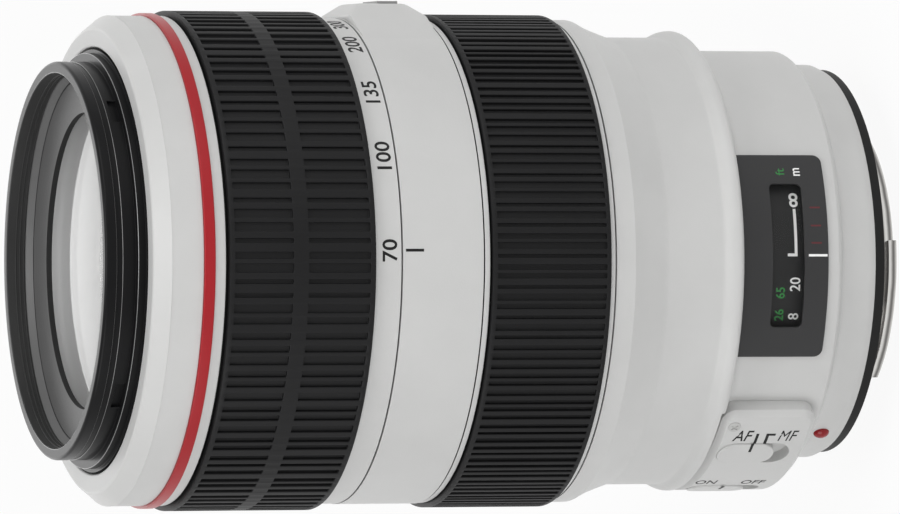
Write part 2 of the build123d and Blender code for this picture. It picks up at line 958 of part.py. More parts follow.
# Stabilizer carriage: slides along X on the housing's rails, and has rails along Y
carriage_rear = floor_front + stabilizer_play
carriage_front = carriage_rear + carriage_thickness
groove_width = rail_width + 2 * stabilizer_play
groove_length = rail_length + 2 * stabilizer_shift + 2 * stabilizer_play
with BuildPart() as stabilizer_carriage:
    with BuildSketch(Plane.XY.offset(carriage_rear)):
        Circle(carriage_radius)
        Circle(stabilizer_bore + stabilizer_shift, mode=Mode.SUBTRACT)
    extrude(amount=carriage_thickness)
    with BuildSketch(Plane.XY.offset(carriage_rear)):
        with Locations((0, rail_offset), (0, -rail_offset)):
            Rectangle(groove_length, groove_width)
    extrude(amount=rail_height + stabilizer_play, mode=Mode.SUBTRACT)
    with BuildSketch(Plane.XY.offset(carriage_front)):
        with Locations((rail_offset, 0), (-rail_offset, 0)):
            Rectangle(rail_width, rail_length)
    extrude(amount=rail_height)
stabilizer_carriage.part.label = "stabilizer_carriage"
export_step(stabilizer_carriage.part, "parts/stabilizer_carriage.step")

# Stabilizer lens frame: slides along Y on the carriage's rails, with its glass
frame_rear = carriage_front + stabilizer_play
frame_front = frame_rear + lens_frame_thickness
with BuildPart() as stabilizer_lens_frame:
    with BuildSketch(Plane.XY.offset(frame_rear)):
        Circle(lens_frame_radius)
        Circle(lens_frame_bore, mode=Mode.SUBTRACT)
    extrude(amount=lens_frame_thickness)
    with BuildSketch(Plane.XY.offset(frame_rear)):
        with Locations((rail_offset, 0), (-rail_offset, 0)):
            Rectangle(groove_width, groove_length)
    extrude(amount=rail_height + stabilizer_play, mode=Mode.SUBTRACT)
stabilizer_lens_frame.part.label = "stabilizer_lens_frame"
export_step(stabilizer_lens_frame.part, "parts/stabilizer_lens_frame.step")

with BuildPart() as stabilizer_elements:
    add(glass_group(frame_rear, frame_front, lens_frame_bore - seat_gap, stabilizer_glass_shares))
stabilizer_elements.part.label = "stabilizer_elements"
export_step(stabilizer_elements.part, "parts/stabilizer_elements.step")

# Focus group: a cell with three rollers, which slides in the inner barrel
focus_cell_radius = inner_barrel_bore - slide_gap
focus_hub_radius = focus_hub_bore + focus_hub_wall
focus_web_rear = focus_roller_height - focus_web_thickness / 2
focus_web_front = focus_web_rear + focus_web_thickness
with BuildPart() as focus_cell:
    add(tube(focus_cell_radius - focus_cell_wall, focus_cell_radius, focus_cell_rear, focus_cell_front))
    add(tube(focus_hub_bore, focus_cell_radius - seat_gap, focus_web_rear, focus_web_front))
    add(tube(focus_hub_bore, focus_hub_radius, focus_cell_rear, focus_cell_front))
    add(
        post_holes(
            focus_roller_angle,
            focus_roller_height,
            focus_cell_radius - focus_cell_wall / 2,
            focus_cell_radius + overrun,
            roller_post_radius + seat_gap,
        ),
        mode=Mode.SUBTRACT,
    )
focus_cell.part.label = "focus_cell"
export_step(focus_cell.part, "parts/focus_cell.step")

with BuildPart() as focus_rollers:
    add(
        rollers(
            focus_roller_angle,
            focus_roller_height,
            focus_cell_radius - focus_cell_wall / 2 + seat_gap,
            focus_cell_radius + seat_gap * 2,
            focus_cell_radius + seat_gap,
            focus_cam_radius + focus_roller_stand,
            focus_roller_radius,
            roller_post_radius,
        )
    )
focus_rollers.part.label = "focus_rollers"
export_step(focus_rollers.part, "parts/focus_rollers.step")

with BuildPart() as focus_elements:
    add(glass_group(focus_cell_rear, focus_cell_front, focus_hub_bore - seat_gap, focus_glass_shares))
focus_elements.part.label = "focus_elements"
export_step(focus_elements.part, "parts/focus_elements.step")

# Focus cam: a thin tube outside the inner barrel, turned by the motor's rotor
with BuildPart() as focus_cam:
    add(tube(focus_cam_bore, focus_cam_radius, drum_flange_rear, inner_barrel_front))
    focus_slots = cam_slots(
        focus_roller_angle,
        -focus_turn,
        focus_roller_height,
        focus_travel,
        (focus_cam_bore + focus_cam_radius) / 2,
        focus_cam_wall,
        focus_roller_radius + roller_gap,
    )
    for cutter in focus_slots:
        add(cutter, mode=Mode.SUBTRACT)
focus_cam.part.label = "focus_cam"
export_step(focus_cam.part, "parts/focus_cam.step")

# Ring motor: a toothed stator against the barrel's lip, and a plain rotor behind it
with BuildPart() as motor_stator:
    with BuildSketch(Plane.XY.offset(stator_rear)):
        Circle(motor_radius)
        Circle(focus_cam_radius + wall_gap * 2, mode=Mode.SUBTRACT)
    extrude(amount=stator_length)
    with BuildSketch(Plane.XY.offset(stator_rear)):
        with PolarLocations((motor_radius + motor_bore) / 2, stator_tooth_count):
            Rectangle(motor_wall + overrun, stator_tooth_gap)
    extrude(amount=stator_tooth_depth, mode=Mode.SUBTRACT)
motor_stator.part.label = "motor_stator"
export_step(motor_stator.part, "parts/motor_stator.step")

with BuildPart() as motor_rotor:
    add(tube(motor_bore, motor_radius - wall_gap, rotor_rear, rotor_rear + rotor_length))
motor_rotor.part.label = "motor_rotor"
export_step(motor_rotor.part, "parts/motor_rotor.step")

# Distance scale drum: a thin black drum that the rotor turns under the window
drum_rear = board_rear + board_thickness + drum_rear_gap
with BuildPart() as distance_scale_drum:
    with BuildSketch(Plane.XZ):
        with BuildLine():
            Polyline(
                (drum_bore, drum_rear),
                (drum_radius, drum_rear),
                (drum_radius, drum_flange_rear),
                (motor_radius - wall_gap, drum_flange_rear),
                (motor_radius - wall_gap, rotor_rear),
                (motor_bore, rotor_rear),
                (motor_bore, drum_flange_rear),
                (drum_bore, drum_flange_rear),
                close=True,
            )
        make_face()
    revolve(axis=Axis.Z)
distance_scale_drum.part.label = "distance_scale_drum"
export_step(distance_scale_drum.part, "parts/distance_scale_drum.step")

# Focus ring: a turned core with white edges, under a ribbed rubber grip
with BuildPart() as focus_ring:
    with BuildSketch(Plane.XZ):
        with BuildLine():
            Polyline(
                (focus_bore, focus_rear),
                (barrel_radius, focus_rear),
                (barrel_radius, focus_rear + focus_edge),
                (focus_core_radius, focus_rear + focus_edge),
                (focus_core_radius, focus_front - focus_edge),
                (barrel_radius, focus_front - focus_edge),
                (barrel_radius, focus_front),
                (focus_bore, focus_front),
                close=True,
            )
        make_face()
    revolve(axis=Axis.Z)
focus_ring.part.label = "focus_ring"
export_step(focus_ring.part, "parts/focus_ring.step")

with BuildPart() as focus_rubber:
    with BuildSketch(Plane.XY.offset(focus_rear + focus_edge + seat_gap)):
        Circle(focus_grip_radius)
        with PolarLocations(focus_grip_radius, focus_rib_count):
            Rectangle(rib_depth * 2, focus_groove_width, mode=Mode.SUBTRACT)
        Circle(focus_core_radius + seat_gap, mode=Mode.SUBTRACT)
    extrude(amount=focus_ring_length - 2 * focus_edge - 2 * seat_gap)
focus_rubber.part.label = "focus_rubber"
export_step(focus_rubber.part, "parts/focus_rubber.step")

# Center collar: fixed between the two rings, with a flat-topped boss for the zoom lock
collar_radius_center = barrel_radius + collar_proud
boss_top_radius = collar_radius_center + boss_rise
boss_height = (collar_rear + collar_front) / 2
lever_seat_radius = boss_top_radius - lever_depth
lever_slot_length = lever_length + lever_travel + 2 * lever_play
lever_slot_rear = boss_height - lever_slot_length / 2
with BuildPart() as center_collar:
    add(tube(sleeve_radius + seat_gap, collar_radius_center, collar_rear, collar_front))
    with BuildSketch(side_plane(boss_angle, sleeve_radius + focus_core_wall, boss_height)):
        Rectangle(boss_base_width, center_collar_length)
    with BuildSketch(side_plane(boss_angle, boss_top_radius, boss_height)):
        RectangleRounded(boss_top_width, boss_top_length, lever_depth)
    loft()
    with BuildSketch(side_plane(boss_angle, boss_top_radius, boss_height)):
        Rectangle(lever_width + 2 * lever_play, lever_slot_length)
    extrude(amount=-lever_depth, mode=Mode.SUBTRACT)
center_collar.part.label = "center_collar"
export_step(center_collar.part, "parts/center_collar.step")

# Zoom lock lever: a small ribbed slide in the boss
lever_height = lever_slot_rear + lever_play + lever_length / 2
with BuildPart() as zoom_lock_lever:
    with BuildSketch(side_plane(boss_angle, lever_seat_radius + roller_gap, lever_height)):
        Rectangle(lever_width, lever_length)
    extrude(amount=lever_depth + lever_proud)
    lever_top_radius = lever_seat_radius + roller_gap + lever_depth + lever_proud
    lever_top = side_plane(boss_angle, lever_top_radius, lever_height)
    with BuildSketch(lever_top):
        with GridLocations(0, lever_length / (lever_rib_count + 1), 1, lever_rib_count):
            Rectangle(lever_width - 2 * lever_rib_end, lever_rib_width)
    extrude(amount=-lever_rib_depth, mode=Mode.SUBTRACT)
zoom_lock_lever.part.label = "zoom_lock_lever"
export_step(zoom_lock_lever.part, "parts/zoom_lock_lever.step")

# Guide tube: fixed in the barrel, with straight slots for all nine zoom rollers
guide_middle = (guide_bore + guide_radius) / 2
slot_half = roller_radius + roller_gap
zoom_groups = (
    (extension_roller_angle, extension_roller_height, zoom_travel),
    (relay_roller_angle, relay_roller_height, relay_travel),
    (variator_roller_angle, variator_roller_height, variator_travel),
)
with BuildPart() as guide_tube:
    add(tube(guide_bore, guide_radius, guide_rear, seal_rear - ring_gap))
    for angle, height, travel in zoom_groups:
        add(
            straight_slots(angle, height, height + travel, guide_middle, guide_wall, slot_half),
            mode=Mode.SUBTRACT,
        )
guide_tube.part.label = "guide_tube"
export_step(guide_tube.part, "parts/guide_tube.step")

# Cam tube: turns with the zoom ring, and its helical slots push the rollers
cam_rear = cavity_floor + ring_gap
cam_front = zoom_front - cam_front_setback
cam_middle = (cam_bore + cam_radius) / 2
key_height = cam_front - zoom_key_setback
with BuildPart() as cam_tube:
    add(tube(cam_bore, cam_radius, cam_rear, cam_front))
    for angle, height, travel in zoom_groups:
        for cutter in cam_slots(angle, zoom_turn, height, travel, cam_middle, cam_wall, slot_half):
            add(cutter, mode=Mode.SUBTRACT)
    add(
        post_holes(
            zoom_key_start,
            key_height,
            cam_bore - overrun,
            cam_radius + overrun,
            zoom_key_radius + seat_gap,
            zoom_key_count,
        ),
        mode=Mode.SUBTRACT,
    )
cam_tube.part.label = "cam_tube"
export_step(cam_tube.part, "parts/cam_tube.step")

# Zoom ring: a core with a white scale band behind, under a ribbed rubber grip
band_front = zoom_rear + scale_band_length
with BuildPart() as zoom_ring:
    with BuildSketch(Plane.XZ):
        with BuildLine():
            Polyline(
                (zoom_bore, zoom_rear),
                (scale_band_radius, zoom_rear),
                (scale_band_radius, band_front),
                (zoom_core_radius, band_front),
                (zoom_core_radius, zoom_front),
                (zoom_bore, zoom_front),
                close=True,
            )
        make_face()
    revolve(axis=Axis.Z)
    add(
        post_holes(
            zoom_key_start,
            key_height,
            cam_radius,
            zoom_core_radius + overrun,
            zoom_key_radius + seat_gap,
            zoom_key_count,
        ),
        mode=Mode.SUBTRACT,
    )
zoom_ring.part.label = "zoom_ring"
export_step(zoom_ring.part, "parts/zoom_ring.step")

# Three key screws join the zoom ring to the cam tube
with BuildPart() as zoom_key_screws:
    add(
        post_holes(
            zoom_key_start,
            key_height,
            cam_bore + seat_gap,
            zoom_core_radius - seat_gap,
            zoom_key_radius,
            zoom_key_count,
        )
    )
zoom_key_screws.part.label = "zoom_key_screws"
export_step(zoom_key_screws.part, "parts/zoom_key_screws.step")

# Zoom grip: two ribbed lengths with a plain band between them
rubber_rear = band_front + seat_gap
plain_front = zoom_front - zoom_plain_start + zoom_plain_length
plain_rear = zoom_front - zoom_plain_start
zoom_rubber_bore = zoom_core_radius + seat_gap
with BuildPart() as zoom_rubber:
    for rear, front in ((rubber_rear, plain_rear), (plain_front, zoom_front)):
        with BuildSketch(Plane.XY.offset(rear)):
            Circle(zoom_grip_radius)
            with PolarLocations(zoom_grip_radius, zoom_rib_count):
                Rectangle(rib_depth * 2, zoom_groove_width, mode=Mode.SUBTRACT)
            Circle(zoom_rubber_bore, mode=Mode.SUBTRACT)
        extrude(amount=front - rear)
    add(tube(zoom_rubber_bore, zoom_grip_radius - zoom_plain_drop, plain_rear, plain_front))
zoom_rubber.part.label = "zoom_rubber"
export_step(zoom_rubber.part, "parts/zoom_rubber.step")

# Front collar: a white nose ring on the guide tube, with a seat for the red ring
nose_bore = guide_radius + roller_gap
band_seat_radius = collar_radius - red_band_seat
red_rear = nose_rear + front_white_length
red_front = red_rear + red_band_length
hollow_bore = nose_bore + collar_hollow_wall
hollow_radius = band_seat_radius - collar_hollow_wall
with BuildPart() as front_collar:
    with BuildSketch(Plane.XZ):
        with BuildLine():
            Polyline(
                (nose_bore, nose_rear),
                (nose_bore, nose_front),
                (collar_face_radius, nose_front),
                (collar_radius - collar_edge_drop, nose_front - collar_chamfer_length),
                (collar_radius, nose_front - collar_chamfer_length - ring_gap * 2),
                (collar_radius, red_front),
                (band_seat_radius, red_front),
                (band_seat_radius, red_rear),
                (collar_radius, red_rear),
                (collar_radius, nose_rear),
                (hollow_radius, nose_rear),
                (hollow_radius, nose_rear + collar_hollow_depth),
                (hollow_bore, nose_rear + collar_hollow_depth),
                (hollow_bore, nose_rear),
                close=True,
            )
        make_face()
    revolve(axis=Axis.Z)
front_collar.part.label = "front_collar"
export_step(front_collar.part, "parts/front_collar.step")

with BuildPart() as red_band:
    add(
        tube(
            band_seat_radius + seat_gap,
            collar_radius + red_band_height,
            red_rear + seat_gap,
            red_front - seat_gap,
        )
    )
red_band.part.label = "red_band"
export_step(red_band.part, "parts/red_band.step")

# Felt seal between the front collar and the extension barrel
with BuildPart() as collar_seal:
    add(tube(extension_radius + slide_gap, nose_bore - seat_gap, seal_rear, seal_front))
collar_seal.part.label = "collar_seal"
export_step(collar_seal.part, "parts/collar_seal.step")

# Extension barrel: slides out with the zoom. Its slots, open at the rear, let the inner
# groups' rollers through to the guide tube.
extension_middle = (extension_bore + extension_radius) / 2
inner_groups = (
    (relay_roller_angle, relay_roller_height),
    (variator_roller_angle, variator_roller_height),
)
with BuildPart() as extension_barrel:
    add(tube(extension_bore, extension_radius, extension_rear, extension_front))
    for angle, height in inner_groups:
        add(
            straight_slots(
                angle,
                extension_rear - overrun,
                height + roller_gap,
                extension_middle,
                extension_wall,
                slot_half + slide_gap,
            ),
            mode=Mode.SUBTRACT,
        )
    add(
        post_holes(
            extension_roller_angle,
            extension_roller_height,
            extension_bore - overrun,
            extension_radius + overrun,
            roller_post_radius + seat_gap,
        ),
        mode=Mode.SUBTRACT,
    )
extension_barrel.part.label = "extension_barrel"
export_step(extension_barrel.part, "parts/extension_barrel.step")

roller_end = cam_radius - slide_gap
with BuildPart() as extension_rollers:
    add(
        rollers(
            extension_roller_angle,
            extension_roller_height,
            extension_bore + seat_gap,
            extension_radius + seat_gap * 2,
            extension_radius + seat_gap,
            roller_end,
            roller_radius,
            roller_post_radius,
        )
    )
extension_rollers.part.label = "extension_rollers"
export_step(extension_rollers.part, "parts/extension_rollers.step")

# Front barrel: the black end piece, with the filter thread, the hood's bayonet and the
# spigot that holds the front group
spigot_rear = extension_front - spigot_length
groove_front = rim_front - rim_groove_setback
groove_rear = groove_front - rim_groove_length
with BuildPart() as front_barrel:
    with BuildSketch(Plane.XZ):
        with BuildLine():
            Polyline(
                (thread_radius, rim_front),
                (hood_radius, rim_front),
                (hood_radius, groove_front),
                (hood_radius - rim_groove_depth, groove_front),
                (hood_radius - rim_groove_depth, groove_rear),
                (hood_radius, groove_rear),
                (hood_radius, nose_front + front_step_length),
                (front_step_radius, nose_front + front_step_length),
                (front_step_radius, nose_front),
                (base_ring_radius, nose_front),
                (base_ring_radius, extension_front + seat_gap),
                (spigot_radius, extension_front + seat_gap),
                (spigot_radius, spigot_rear),
                (spigot_bore - element_ledge, spigot_rear),
                (spigot_bore - element_ledge, spigot_rear + element_ledge),
                (spigot_bore, spigot_rear + element_ledge),
                (spigot_bore, thread_rear),
                (thread_radius, thread_rear),
                close=True,
            )
        make_face()
    revolve(axis=Axis.Z)
    for side in hood_notch_angles:
        add(
            sector(
                hood_radius - hood_notch_depth,
                hood_radius + overrun,
                nose_front + front_step_length,
                nose_front + front_step_length + hood_notch_length,
                side - 90 - hood_notch_arc / 2,
                hood_notch_arc,
            ),
            mode=Mode.SUBTRACT,
        )
front_barrel.part.label = "front_barrel"
export_step(front_barrel.part, "parts/front_barrel.step")

# Front group: a large cemented pair at the front and a single element behind it
front_glass_radius = spigot_bore - seat_gap
front_group_rear = spigot_rear + element_ledge + seat_gap
front_group_front = thread_rear - retainer_depth
front_bulge = front_glass_shares[-1][-1] * front_glass_radius
with BuildPart() as front_elements:
    add(glass_group(front_group_rear, front_group_front, front_glass_radius, front_glass_shares))
front_elements.part.label = "front_elements"
export_step(front_elements.part, "parts/front_elements.step")

# Retaining ring: screwed in under the filter thread, with a conical face round the glass
retainer_inner = front_glass_radius - retainer_width
glass_curve = (front_glass_radius**2 + front_bulge**2) / (2 * front_bulge)
glass_drop = glass_curve - sqrt(glass_curve**2 - retainer_inner**2)
retainer_foot = front_group_front + front_bulge - glass_drop + roller_gap
with BuildPart() as front_retaining_ring:
    with BuildSketch(Plane.XZ):
        with BuildLine():
            Polyline(
                (front_glass_radius, thread_rear),
                (front_glass_radius, front_group_front + roller_gap),
                (retainer_inner, retainer_foot),
                (retainer_inner, retainer_foot + retainer_lip),
                close=True,
            )
        make_face()
    revolve(axis=Axis.Z)
front_retaining_ring.part.label = "front_retaining_ring"
export_step(front_retaining_ring.part, "parts/front_retaining_ring.step")

# Variator group: a cell with three rollers, between the relay group and the front group
variator_middle = (variator_rear + variator_front) / 2
variator_hub_radius = variator_hub_bore + variator_hub_wall
with BuildPart() as variator_cell:
    add(tube(group_radius - group_wall, group_radius, variator_rear, variator_front))
    add(
        tube(
            variator_hub_bore,
            group_radius - group_wall / 2,
            variator_middle - variator_web_thickness / 2,
            variator_middle + variator_web_thickness / 2,
        )
    )
    add(tube(variator_hub_bore, variator_hub_radius, variator_rear, variator_front))
    add(
        post_holes(
            variator_roller_angle,
            variator_roller_height,
            group_radius - group_wall / 2,
            group_radius + overrun,
            roller_post_radius + seat_gap,
        ),
        mode=Mode.SUBTRACT,
    )
variator_cell.part.label = "variator_cell"
export_step(variator_cell.part, "parts/variator_cell.step")

with BuildPart() as variator_elements:
    add(
        glass_group(
            variator_rear,
            variator_front,
            variator_hub_bore - seat_gap,
            variator_glass_shares,
        )
    )
variator_elements.part.label = "variator_elements"
export_step(variator_elements.part, "parts/variator_elements.step")

# Relay group: a cell with its glass in a hub, and the iris on its front web
web_front = relay_front - relay_web_setback
web_rear = web_front - relay_web_thickness
relay_hub_radius = relay_hub_bore + relay_hub_wall
relay_wall_rear = relay_roller_height - relay_wall_margin
iris_seat_front = web_front + blade_pitch * (iris_blade_count + 1)
with BuildPart() as relay_cell:
    with BuildSketch(Plane.XZ):
        with BuildLine():
            Polyline(
                (relay_hub_bore, relay_rear),
                (relay_hub_radius, relay_rear),
                (relay_hub_radius, web_rear),
                (group_radius - group_wall, web_rear),
                (group_radius - group_wall, relay_wall_rear),
                (group_radius, relay_wall_rear),
                (group_radius, relay_front),
                (iris_ring_radius + slide_gap, relay_front),
                (iris_ring_radius + slide_gap, iris_seat_front),
                (iris_seat_radius, iris_seat_front),
                (iris_seat_radius, web_front),
                (relay_hub_bore, web_front),
                close=True,
            )
        make_face()
    revolve(axis=Axis.Z)
    add(
        post_holes(
            relay_roller_angle,
            relay_roller_height,
            group_radius - group_wall / 2,
            group_radius + overrun,
            roller_post_radius + seat_gap,
        ),
        mode=Mode.SUBTRACT,
    )
    with BuildSketch(Plane.XY.offset(web_front)):
        with PolarLocations(blade_pivot_radius, iris_blade_count):
            Circle(blade_pivot_pin_radius + roller_gap)
    extrude(amount=-(blade_pivot_pin_depth + roller_gap), mode=Mode.SUBTRACT)
relay_cell.part.label = "relay_cell"
export_step(relay_cell.part, "parts/relay_cell.step")

with BuildPart() as relay_elements:
    add(glass_group(relay_rear, web_front, relay_hub_bore - seat_gap, relay_glass_shares))
relay_elements.part.label = "relay_elements"
export_step(relay_elements.part, "parts/relay_elements.step")

# The rollers of the two inner groups reach out through the extension barrel
inner_roller_groups = (
    ("relay_rollers", relay_roller_angle, relay_roller_height),
    ("variator_rollers", variator_roller_angle, variator_roller_height),
)
for name, angle, height in inner_roller_groups:
    with BuildPart() as inner_rollers:
        add(
            rollers(
                angle,
                height,
                group_radius - group_wall / 2 + seat_gap,
                group_radius + seat_gap * 2,
                group_radius + seat_gap,
                roller_end,
                roller_radius,
                roller_post_radius,
            )
        )
    inner_rollers.part.label = name
    export_step(inner_rollers.part, f"parts/{name}.step")

# Iris ring: turns in the relay cell, and its radial slots carry the blades' drive pins,
# which come closer to the axis as the blades turn
closed_pin_radius = sqrt(
    blade_pivot_radius**2
    + blade_pin_arm**2
    + 2 * blade_pivot_radius * blade_pin_arm * cos(radians(blade_turn))
)
iris_slot_travel = blade_pin_radius - closed_pin_radius
iris_slot_half = blade_drive_pin_radius + roller_gap
iris_ring_rear = iris_seat_front + roller_gap
iris_ring_front = iris_ring_rear + iris_ring_thickness
with BuildPart() as iris_ring:
    with BuildSketch(Plane.XY.offset(iris_ring_rear)):
        Circle(iris_ring_radius)
        Circle(iris_ring_bore, mode=Mode.SUBTRACT)
        with PolarLocations((blade_pin_radius + closed_pin_radius) / 2, iris_blade_count):
            SlotOverall(
                iris_slot_travel + 2 * (iris_slot_half + iris_slot_play),
                2 * iris_slot_half,
                mode=Mode.SUBTRACT,
            )
    extrude(amount=iris_ring_thickness)
iris_ring.part.label = "iris_ring"
export_step(iris_ring.part, "parts/iris_ring.step")

# Iris blades: thin crescents, one above the other, each on its own pivot pin
for blade in range(iris_blade_count):
    turn = radians(blade * 360 / iris_blade_count)
    blade_rear = web_front + blade_pitch * (blade + 1) - blade_thickness
    blade_plane = Plane(origin=(0, 0, blade_rear), x_dir=(cos(turn), sin(turn), 0), z_dir=(0, 0, 1))
    with BuildPart() as iris_blade:
        with BuildSketch(blade_plane):
            with BuildLine():
                outer_edge = CenterArc((0, 0), blade_outer_radius, -blade_tail, blade_reach + blade_tail)
                inner_edge = CenterArc((0, 0), blade_inner_radius, -blade_tail, blade_reach + blade_tail)
                Line(outer_edge @ 0, inner_edge @ 0)
                Line(outer_edge @ 1, inner_edge @ 1)
            make_face()
            with Locations((blade_pivot_radius, 0)):
                Rectangle(blade_pin_arm * 2, blade_lug_width)
            with Locations((blade_pin_radius, 0)):
                Circle(blade_drive_pin_radius * 2)
        extrude(amount=blade_thickness)
        with BuildSketch(blade_plane):
            with Locations((blade_pivot_radius, 0)):
                Circle(blade_pivot_pin_radius)
        extrude(amount=-(blade_rear - web_front + blade_pivot_pin_depth))
        with BuildSketch(blade_plane):
            with Locations((blade_pin_radius, 0)):
                Circle(blade_drive_pin_radius)
        extrude(amount=iris_ring_front - blade_rear)
    iris_blade.part.label = f"iris_blade_{blade + 1}"
    export_step(iris_blade.part, f"parts/iris_blade_{blade + 1}.step")
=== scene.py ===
from math import cos, hypot, pi, radians, sin

import bpy
from mathutils import Matrix, Vector


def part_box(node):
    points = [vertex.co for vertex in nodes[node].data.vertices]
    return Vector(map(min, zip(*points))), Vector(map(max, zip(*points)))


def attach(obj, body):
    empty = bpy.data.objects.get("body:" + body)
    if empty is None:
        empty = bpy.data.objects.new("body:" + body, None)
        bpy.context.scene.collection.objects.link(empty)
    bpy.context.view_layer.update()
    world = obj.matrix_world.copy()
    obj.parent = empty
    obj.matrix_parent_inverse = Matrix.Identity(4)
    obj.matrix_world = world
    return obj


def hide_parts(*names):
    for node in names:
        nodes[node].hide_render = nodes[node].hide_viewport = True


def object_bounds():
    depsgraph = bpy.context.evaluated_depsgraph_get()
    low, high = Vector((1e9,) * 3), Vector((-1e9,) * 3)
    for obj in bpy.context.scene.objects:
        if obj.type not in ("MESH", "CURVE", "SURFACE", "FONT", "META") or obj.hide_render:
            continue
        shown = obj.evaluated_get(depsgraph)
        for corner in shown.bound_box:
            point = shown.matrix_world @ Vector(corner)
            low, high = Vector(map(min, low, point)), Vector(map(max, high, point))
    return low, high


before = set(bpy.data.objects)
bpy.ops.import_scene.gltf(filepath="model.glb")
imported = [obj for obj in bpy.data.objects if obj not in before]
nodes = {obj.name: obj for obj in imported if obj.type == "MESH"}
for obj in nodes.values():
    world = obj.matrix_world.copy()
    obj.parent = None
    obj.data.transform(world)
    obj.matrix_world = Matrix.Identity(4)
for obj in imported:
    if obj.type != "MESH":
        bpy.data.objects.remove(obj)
cad_box = [list(corner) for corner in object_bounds()]
mm = 0.001

# Bayonet mount
# Turned from one piece of stainless steel, then polished. The flange is held by four
# screws from behind, and the three lugs turn in behind the camera's own ring.
cloud_size = 14 * mm


def surface(name, colour, roughness, grain, depth, mottle=0.05, metallic=0.0, specular=0.5):
    """A finish with a fine grain in its relief and a faint cloudiness in its colour and gloss."""
    material = bpy.data.materials.new(name)
    material.use_nodes = True
    tree = material.node_tree
    shader = tree.nodes["Principled BSDF"]
    shader.inputs["Metallic"].default_value = metallic
    shader.inputs["Specular IOR Level"].default_value = specular
    place = tree.nodes.new("ShaderNodeTexCoord")
    clouds = tree.nodes.new("ShaderNodeTexNoise")
    clouds.inputs["Scale"].default_value = 1 / cloud_size
    clouds.inputs["Detail"].default_value = 4
    tint = tree.nodes.new("ShaderNodeValToRGB")
    tint.color_ramp.elements[0].position = 0.3
    tint.color_ramp.elements[1].position = 0.7
    tint.color_ramp.elements[0].color = [c * (1 - mottle) for c in colour] + [1]
    tint.color_ramp.elements[1].color = [min(1, c * (1 + mottle)) for c in colour] + [1]
    speckle = tree.nodes.new("ShaderNodeTexNoise")
    speckle.inputs["Scale"].default_value = 1 / grain
    speckle.inputs["Detail"].default_value = 2
    gloss = tree.nodes.new("ShaderNodeMapRange")
    gloss.inputs["To Min"].default_value = roughness * 0.85
    gloss.inputs["To Max"].default_value = min(1, roughness * 1.15)
    relief = tree.nodes.new("ShaderNodeBump")
    relief.inputs["Strength"].default_value = 1
    relief.inputs["Distance"].default_value = depth
    link = tree.links.new
    link(place.outputs["Object"], clouds.inputs["Vector"])
    link(place.outputs["Object"], speckle.inputs["Vector"])
    link(clouds.outputs["Fac"], tint.inputs["Fac"])
    link(tint.outputs["Color"], shader.inputs["Base Color"])
    link(speckle.outputs["Fac"], gloss.inputs["Value"])
    link(gloss.outputs["Result"], shader.inputs["Roughness"])
    link(speckle.outputs["Fac"], relief.inputs["Height"])
    link(relief.outputs["Normal"], shader.inputs["Normal"])
    return material


def add_turning_marks(material, spacing, depth, bands="RINGS"):
    """Fine lathe lines, round the optical axis on faces and along it on tubes."""
    tree = material.node_tree
    place = next(n for n in tree.nodes if n.type == "TEX_COORD")
    relief = next(n for n in tree.nodes if n.type == "BUMP")
    lines = tree.nodes.new("ShaderNodeTexWave")
    lines.wave_type = bands
    lines.rings_direction = "Z"
    lines.bands_direction = "Z"
    lines.inputs["Scale"].default_value = pi / (10 * spacing)
    lines.inputs["Distortion"].default_value = 0.4
    marks = tree.nodes.new("ShaderNodeBump")
    marks.inputs["Distance"].default_value = depth
    tree.links.new(place.outputs["Object"], lines.inputs["Vector"])
    tree.links.new(lines.outputs["Fac"], marks.inputs["Height"])
    tree.links.new(relief.outputs["Normal"], marks.inputs["Normal"])
    tree.links.new(marks.outputs["Normal"], tree.nodes["Principled BSDF"].inputs["Normal"])
    return material


def dress(piece, material):
    piece.data.materials.clear()
    piece.data.materials.append(material)
    return piece


def alone(piece):
    """Selects one piece and nothing else."""
    bpy.ops.object.select_all(action="DESELECT")
    piece.select_set(True)
    bpy.context.view_layer.objects.active = piece
    return piece


def pulled(start, profile):
    """Carries the selected ring of edges on from its own radius and height through others."""
    radius, height = start
    for next_radius, next_height in profile:
        bpy.ops.mesh.extrude_edges_move(TRANSFORM_OT_translate={"value": (0, 0, next_height - height)})
        growth = next_radius / radius
        bpy.ops.transform.resize(value=(growth, growth, 1), center_override=(0, 0, 0))
        radius, height = next_radius, next_height


def turned(name, outline, segments=256):
    """A ring turned from a closed outline of radii and heights."""
    bpy.ops.object.select_all(action="DESELECT")
    radius, height = outline[0]
    bpy.ops.mesh.primitive_circle_add(vertices=segments, radius=radius, location=(0, 0, height))
    ring = bpy.context.object
    ring.name = ring.data.name = name
    bpy.ops.object.mode_set(mode="EDIT")
    bpy.ops.mesh.select_all(action="SELECT")
    pulled(outline[0], outline[1:] + outline[:1])
    bpy.ops.mesh.select_all(action="SELECT")
    bpy.ops.mesh.remove_doubles(threshold=0.002 * mm)
    bpy.ops.mesh.normals_make_consistent(inside=False)
    bpy.ops.object.mode_set(mode="OBJECT")
    bpy.ops.object.transform_apply(location=True, rotation=True, scale=True)
    return ring


def soften(piece, width, steps=2, angle=28):
    """Breaks the sharp edges and smooths the shading between them."""
    alone(piece)
    if width > 0:
        bevel = piece.modifiers.new("edges", "BEVEL")
        bevel.width = width
        bevel.segments = steps
        bevel.limit_method = "ANGLE"
        bevel.angle_limit = radians(angle)
        bevel.harden_normals = False
        bpy.ops.object.modifier_apply(modifier=bevel.name)
    bpy.ops.object.shade_smooth_by_angle(angle=radians(40))
    weight = piece.modifiers.new("weight", "WEIGHTED_NORMAL")
    weight.keep_sharp = True
    bpy.ops.object.modifier_apply(modifier=weight.name)
    return piece


def near_ring(point, radius, height, reach):
    """Whether a point lies near the circle of that radius and height."""
    return abs(hypot(point.x, point.y) - radius) < reach and abs(point.z - height) < reach


